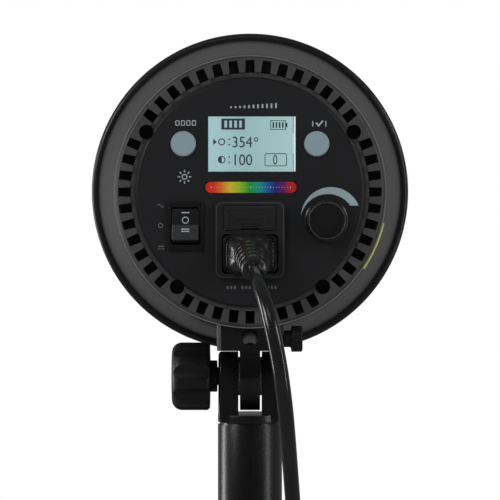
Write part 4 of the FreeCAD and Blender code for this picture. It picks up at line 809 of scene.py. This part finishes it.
def draw_plug():
    """Moulded mains plug: ribbed neck, waisted grip and a round face with two flats."""
    end = Vector(TAIL[-1])
    ahead = (Vector(TAIL[-1]) - Vector(TAIL[-2])).normalized()
    side = ahead.cross(Vector((0, 1, 0))).normalized()
    top = side.cross(ahead).normalized()
    # Distance from the cord's end and radius of each ring.
    profile = [(0.0, 3.5), (0.3, 4.0), (2.0, 4.1), (2.6, 3.6), (3.4, 3.7), (4.0, 4.5), (5.6, 4.6),
               (6.2, 4.1), (7.0, 4.2), (7.6, 5.1), (9.2, 5.2), (9.8, 4.8), (10.6, 4.9), (11.4, 5.9),
               (14.0, 6.4), (17.0, 9.0), (21.0, 11.2), (25.0, 12.4), (28.0, 14.0), (30.0, 16.8),
               (31.0, 18.0), (32.4, 18.3), (40.6, 18.3), (41.4, 18.0), (42.0, 17.2)]
    around = 64
    flats_from, flat_depth, flat_edge = 29, 0.10, 0.86
    rings = []
    for along, radius in profile:
        ring = []
        for k in range(around):
            turn = 2 * math.pi * k / around
            flat = 1.0
            if along > flats_from:
                flat -= flat_depth * max(0.0, abs(math.sin(turn)) - flat_edge) / (1 - flat_edge)
            ring.append(end + ahead * along * MM
                        + (side * math.cos(turn) + top * math.sin(turn)) * radius * flat * MM)
        rings.append(ring)
    plug = loft("moulded_plug", rings, "moulding", "stand_adapter", "cord_pvc")
    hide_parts("plug_body")
    return plug


coil_band = draw_tie()
moulded_plug = draw_plug()


# ---------------------------------------------------------------- floor, light and camera

def backdrop_material():
    """Pale matt floor that shows only dimly in reflections."""
    material, tree, bsdf = node_tree("backdrop")
    bsdf.inputs["Base Color"].default_value = (0.8, 0.8, 0.8, 1)
    bsdf.inputs["Roughness"].default_value = 0.9
    glow = tree.nodes.new("ShaderNodeEmission")
    glow.inputs["Strength"].default_value = 0.17
    rays = tree.nodes.new("ShaderNodeLightPath")
    mix = tree.nodes.new("ShaderNodeMixShader")
    tree.links.new(rays.outputs["Is Glossy Ray"], mix.inputs["Fac"])
    tree.links.new(bsdf.outputs["BSDF"], mix.inputs[1])
    tree.links.new(glow.outputs["Emission"], mix.inputs[2])
    tree.links.new(mix.outputs["Shader"], tree.nodes["Material Output"].inputs["Surface"])
    return material


FLOOR_DROP = 0.12
FLOOR_RADIUS = 1.7


def build_stage():
    bottom = cad_box[0][2] - FLOOR_DROP
    bpy.ops.mesh.primitive_circle_add(vertices=96, radius=FLOOR_RADIUS, fill_type="NGON",
                                      location=(0, 0, bottom))
    floor = bpy.context.object
    floor.name = "studio_floor"
    floor.data.materials.append(backdrop_material())
    world = bpy.data.worlds.new("studio")
    bpy.context.scene.world = world
    world.use_nodes = True
    tree = world.node_tree
    tree.nodes.clear()
    soft, white, gloss = (tree.nodes.new("ShaderNodeBackground") for _ in range(3))
    soft.inputs["Color"].default_value = (1, 1, 1, 1)
    soft.inputs["Strength"].default_value = 0.32
    white.inputs["Color"].default_value = (1, 1, 1, 1)
    white.inputs["Strength"].default_value = 1.0
    # Reflections see a dim room behind the operator and a paler backdrop on the light's side.
    coords = tree.nodes.new("ShaderNodeTexCoord")
    split = tree.nodes.new("ShaderNodeSeparateXYZ")
    room = tree.nodes.new("ShaderNodeMapRange")
    room.inputs["From Min"].default_value = -1.0
    room.inputs["From Max"].default_value = 1.0
    room.inputs["To Min"].default_value = 0.035
    room.inputs["To Max"].default_value = 0.26
    tree.links.new(coords.outputs["Generated"], split.inputs["Vector"])
    tree.links.new(split.outputs["Y"], room.inputs["Value"])
    tree.links.new(room.outputs["Result"], gloss.inputs["Strength"])
    gloss.inputs["Color"].default_value = (1, 1, 1, 1)
    rays = tree.nodes.new("ShaderNodeLightPath")
    first, second = (tree.nodes.new("ShaderNodeMixShader") for _ in range(2))
    tree.links.new(rays.outputs["Is Glossy Ray"], first.inputs["Fac"])
    tree.links.new(soft.outputs["Background"], first.inputs[1])
    tree.links.new(gloss.outputs["Background"], first.inputs[2])
    tree.links.new(rays.outputs["Is Camera Ray"], second.inputs["Fac"])
    tree.links.new(first.outputs["Shader"], second.inputs[1])
    tree.links.new(white.outputs["Background"], second.inputs[2])
    output = tree.nodes.new("ShaderNodeOutputWorld")
    tree.links.new(second.outputs["Shader"], output.inputs["Surface"])


def area_light(name, place, target, width, height, power, lights=True):
    """A soft box that lights surfaces, or else a card that is only seen in their reflections."""
    data = bpy.data.lights.new(name, "AREA")
    data.shape = "RECTANGLE"
    data.size = width
    data.size_y = height
    data.energy = power
    item = bpy.data.objects.new(name, data)
    bpy.context.scene.collection.objects.link(item)
    item.location = place
    aim = Vector(target) - Vector(place)
    item.rotation_euler = aim.to_track_quat("-Z", "Y").to_euler()
    item.visible_glossy = not lights
    item.visible_diffuse = lights


def build_lights():
    target = (HEAD.x, FACE, HEAD.z - 0.03)
    area_light("key", (-0.9, -1.5, 1.1), target, 0.9, 0.9, 16)
    area_light("fill", (1.1, -1.4, 0.7), target, 0.9, 0.9, 9.5)
    area_light("front_fill", (0.3, 1.6, 0.9), target, 1.2, 1.2, 22)
    area_light("sheen", (-0.15, -0.9, 1.1), target, 0.5, 0.25, 0.8, False)
    area_light("left_strip", (-1.1, 0.36, 0.07), target, 0.20, 0.7, 5.2, False)
    area_light("left_card", (-1.0, -0.5, 0.62), target, 0.40, 0.4, 4.5, False)
    area_light("right_strip", (1.0, -0.42, 0.05), target, 0.12, 0.6, 1.5, False)
    area_light("right_card", (1.0, -0.4, 0.62), target, 0.40, 0.4, 2.5, False)


def build_camera():
    """Camera on the lamp axis, tipped down a little so that the bracket and the tube are in the frame."""
    distance, lens, pitch = 1.2, 202.2, 1.183
    data = bpy.data.cameras.new("camera")
    data.sensor_width = 36.0
    data.lens = lens
    data.dof.use_dof = False
    item = bpy.data.objects.new("camera", data)
    bpy.context.scene.collection.objects.link(item)
    item.location = (HEAD.x, FACE - distance, HEAD.z)
    item.rotation_euler = (math.radians(90 - pitch), 0, 0)
    bpy.context.scene.camera = item


build_stage()
build_lights()
build_camera()
bpy.context.scene.view_settings.view_transform = "Standard"
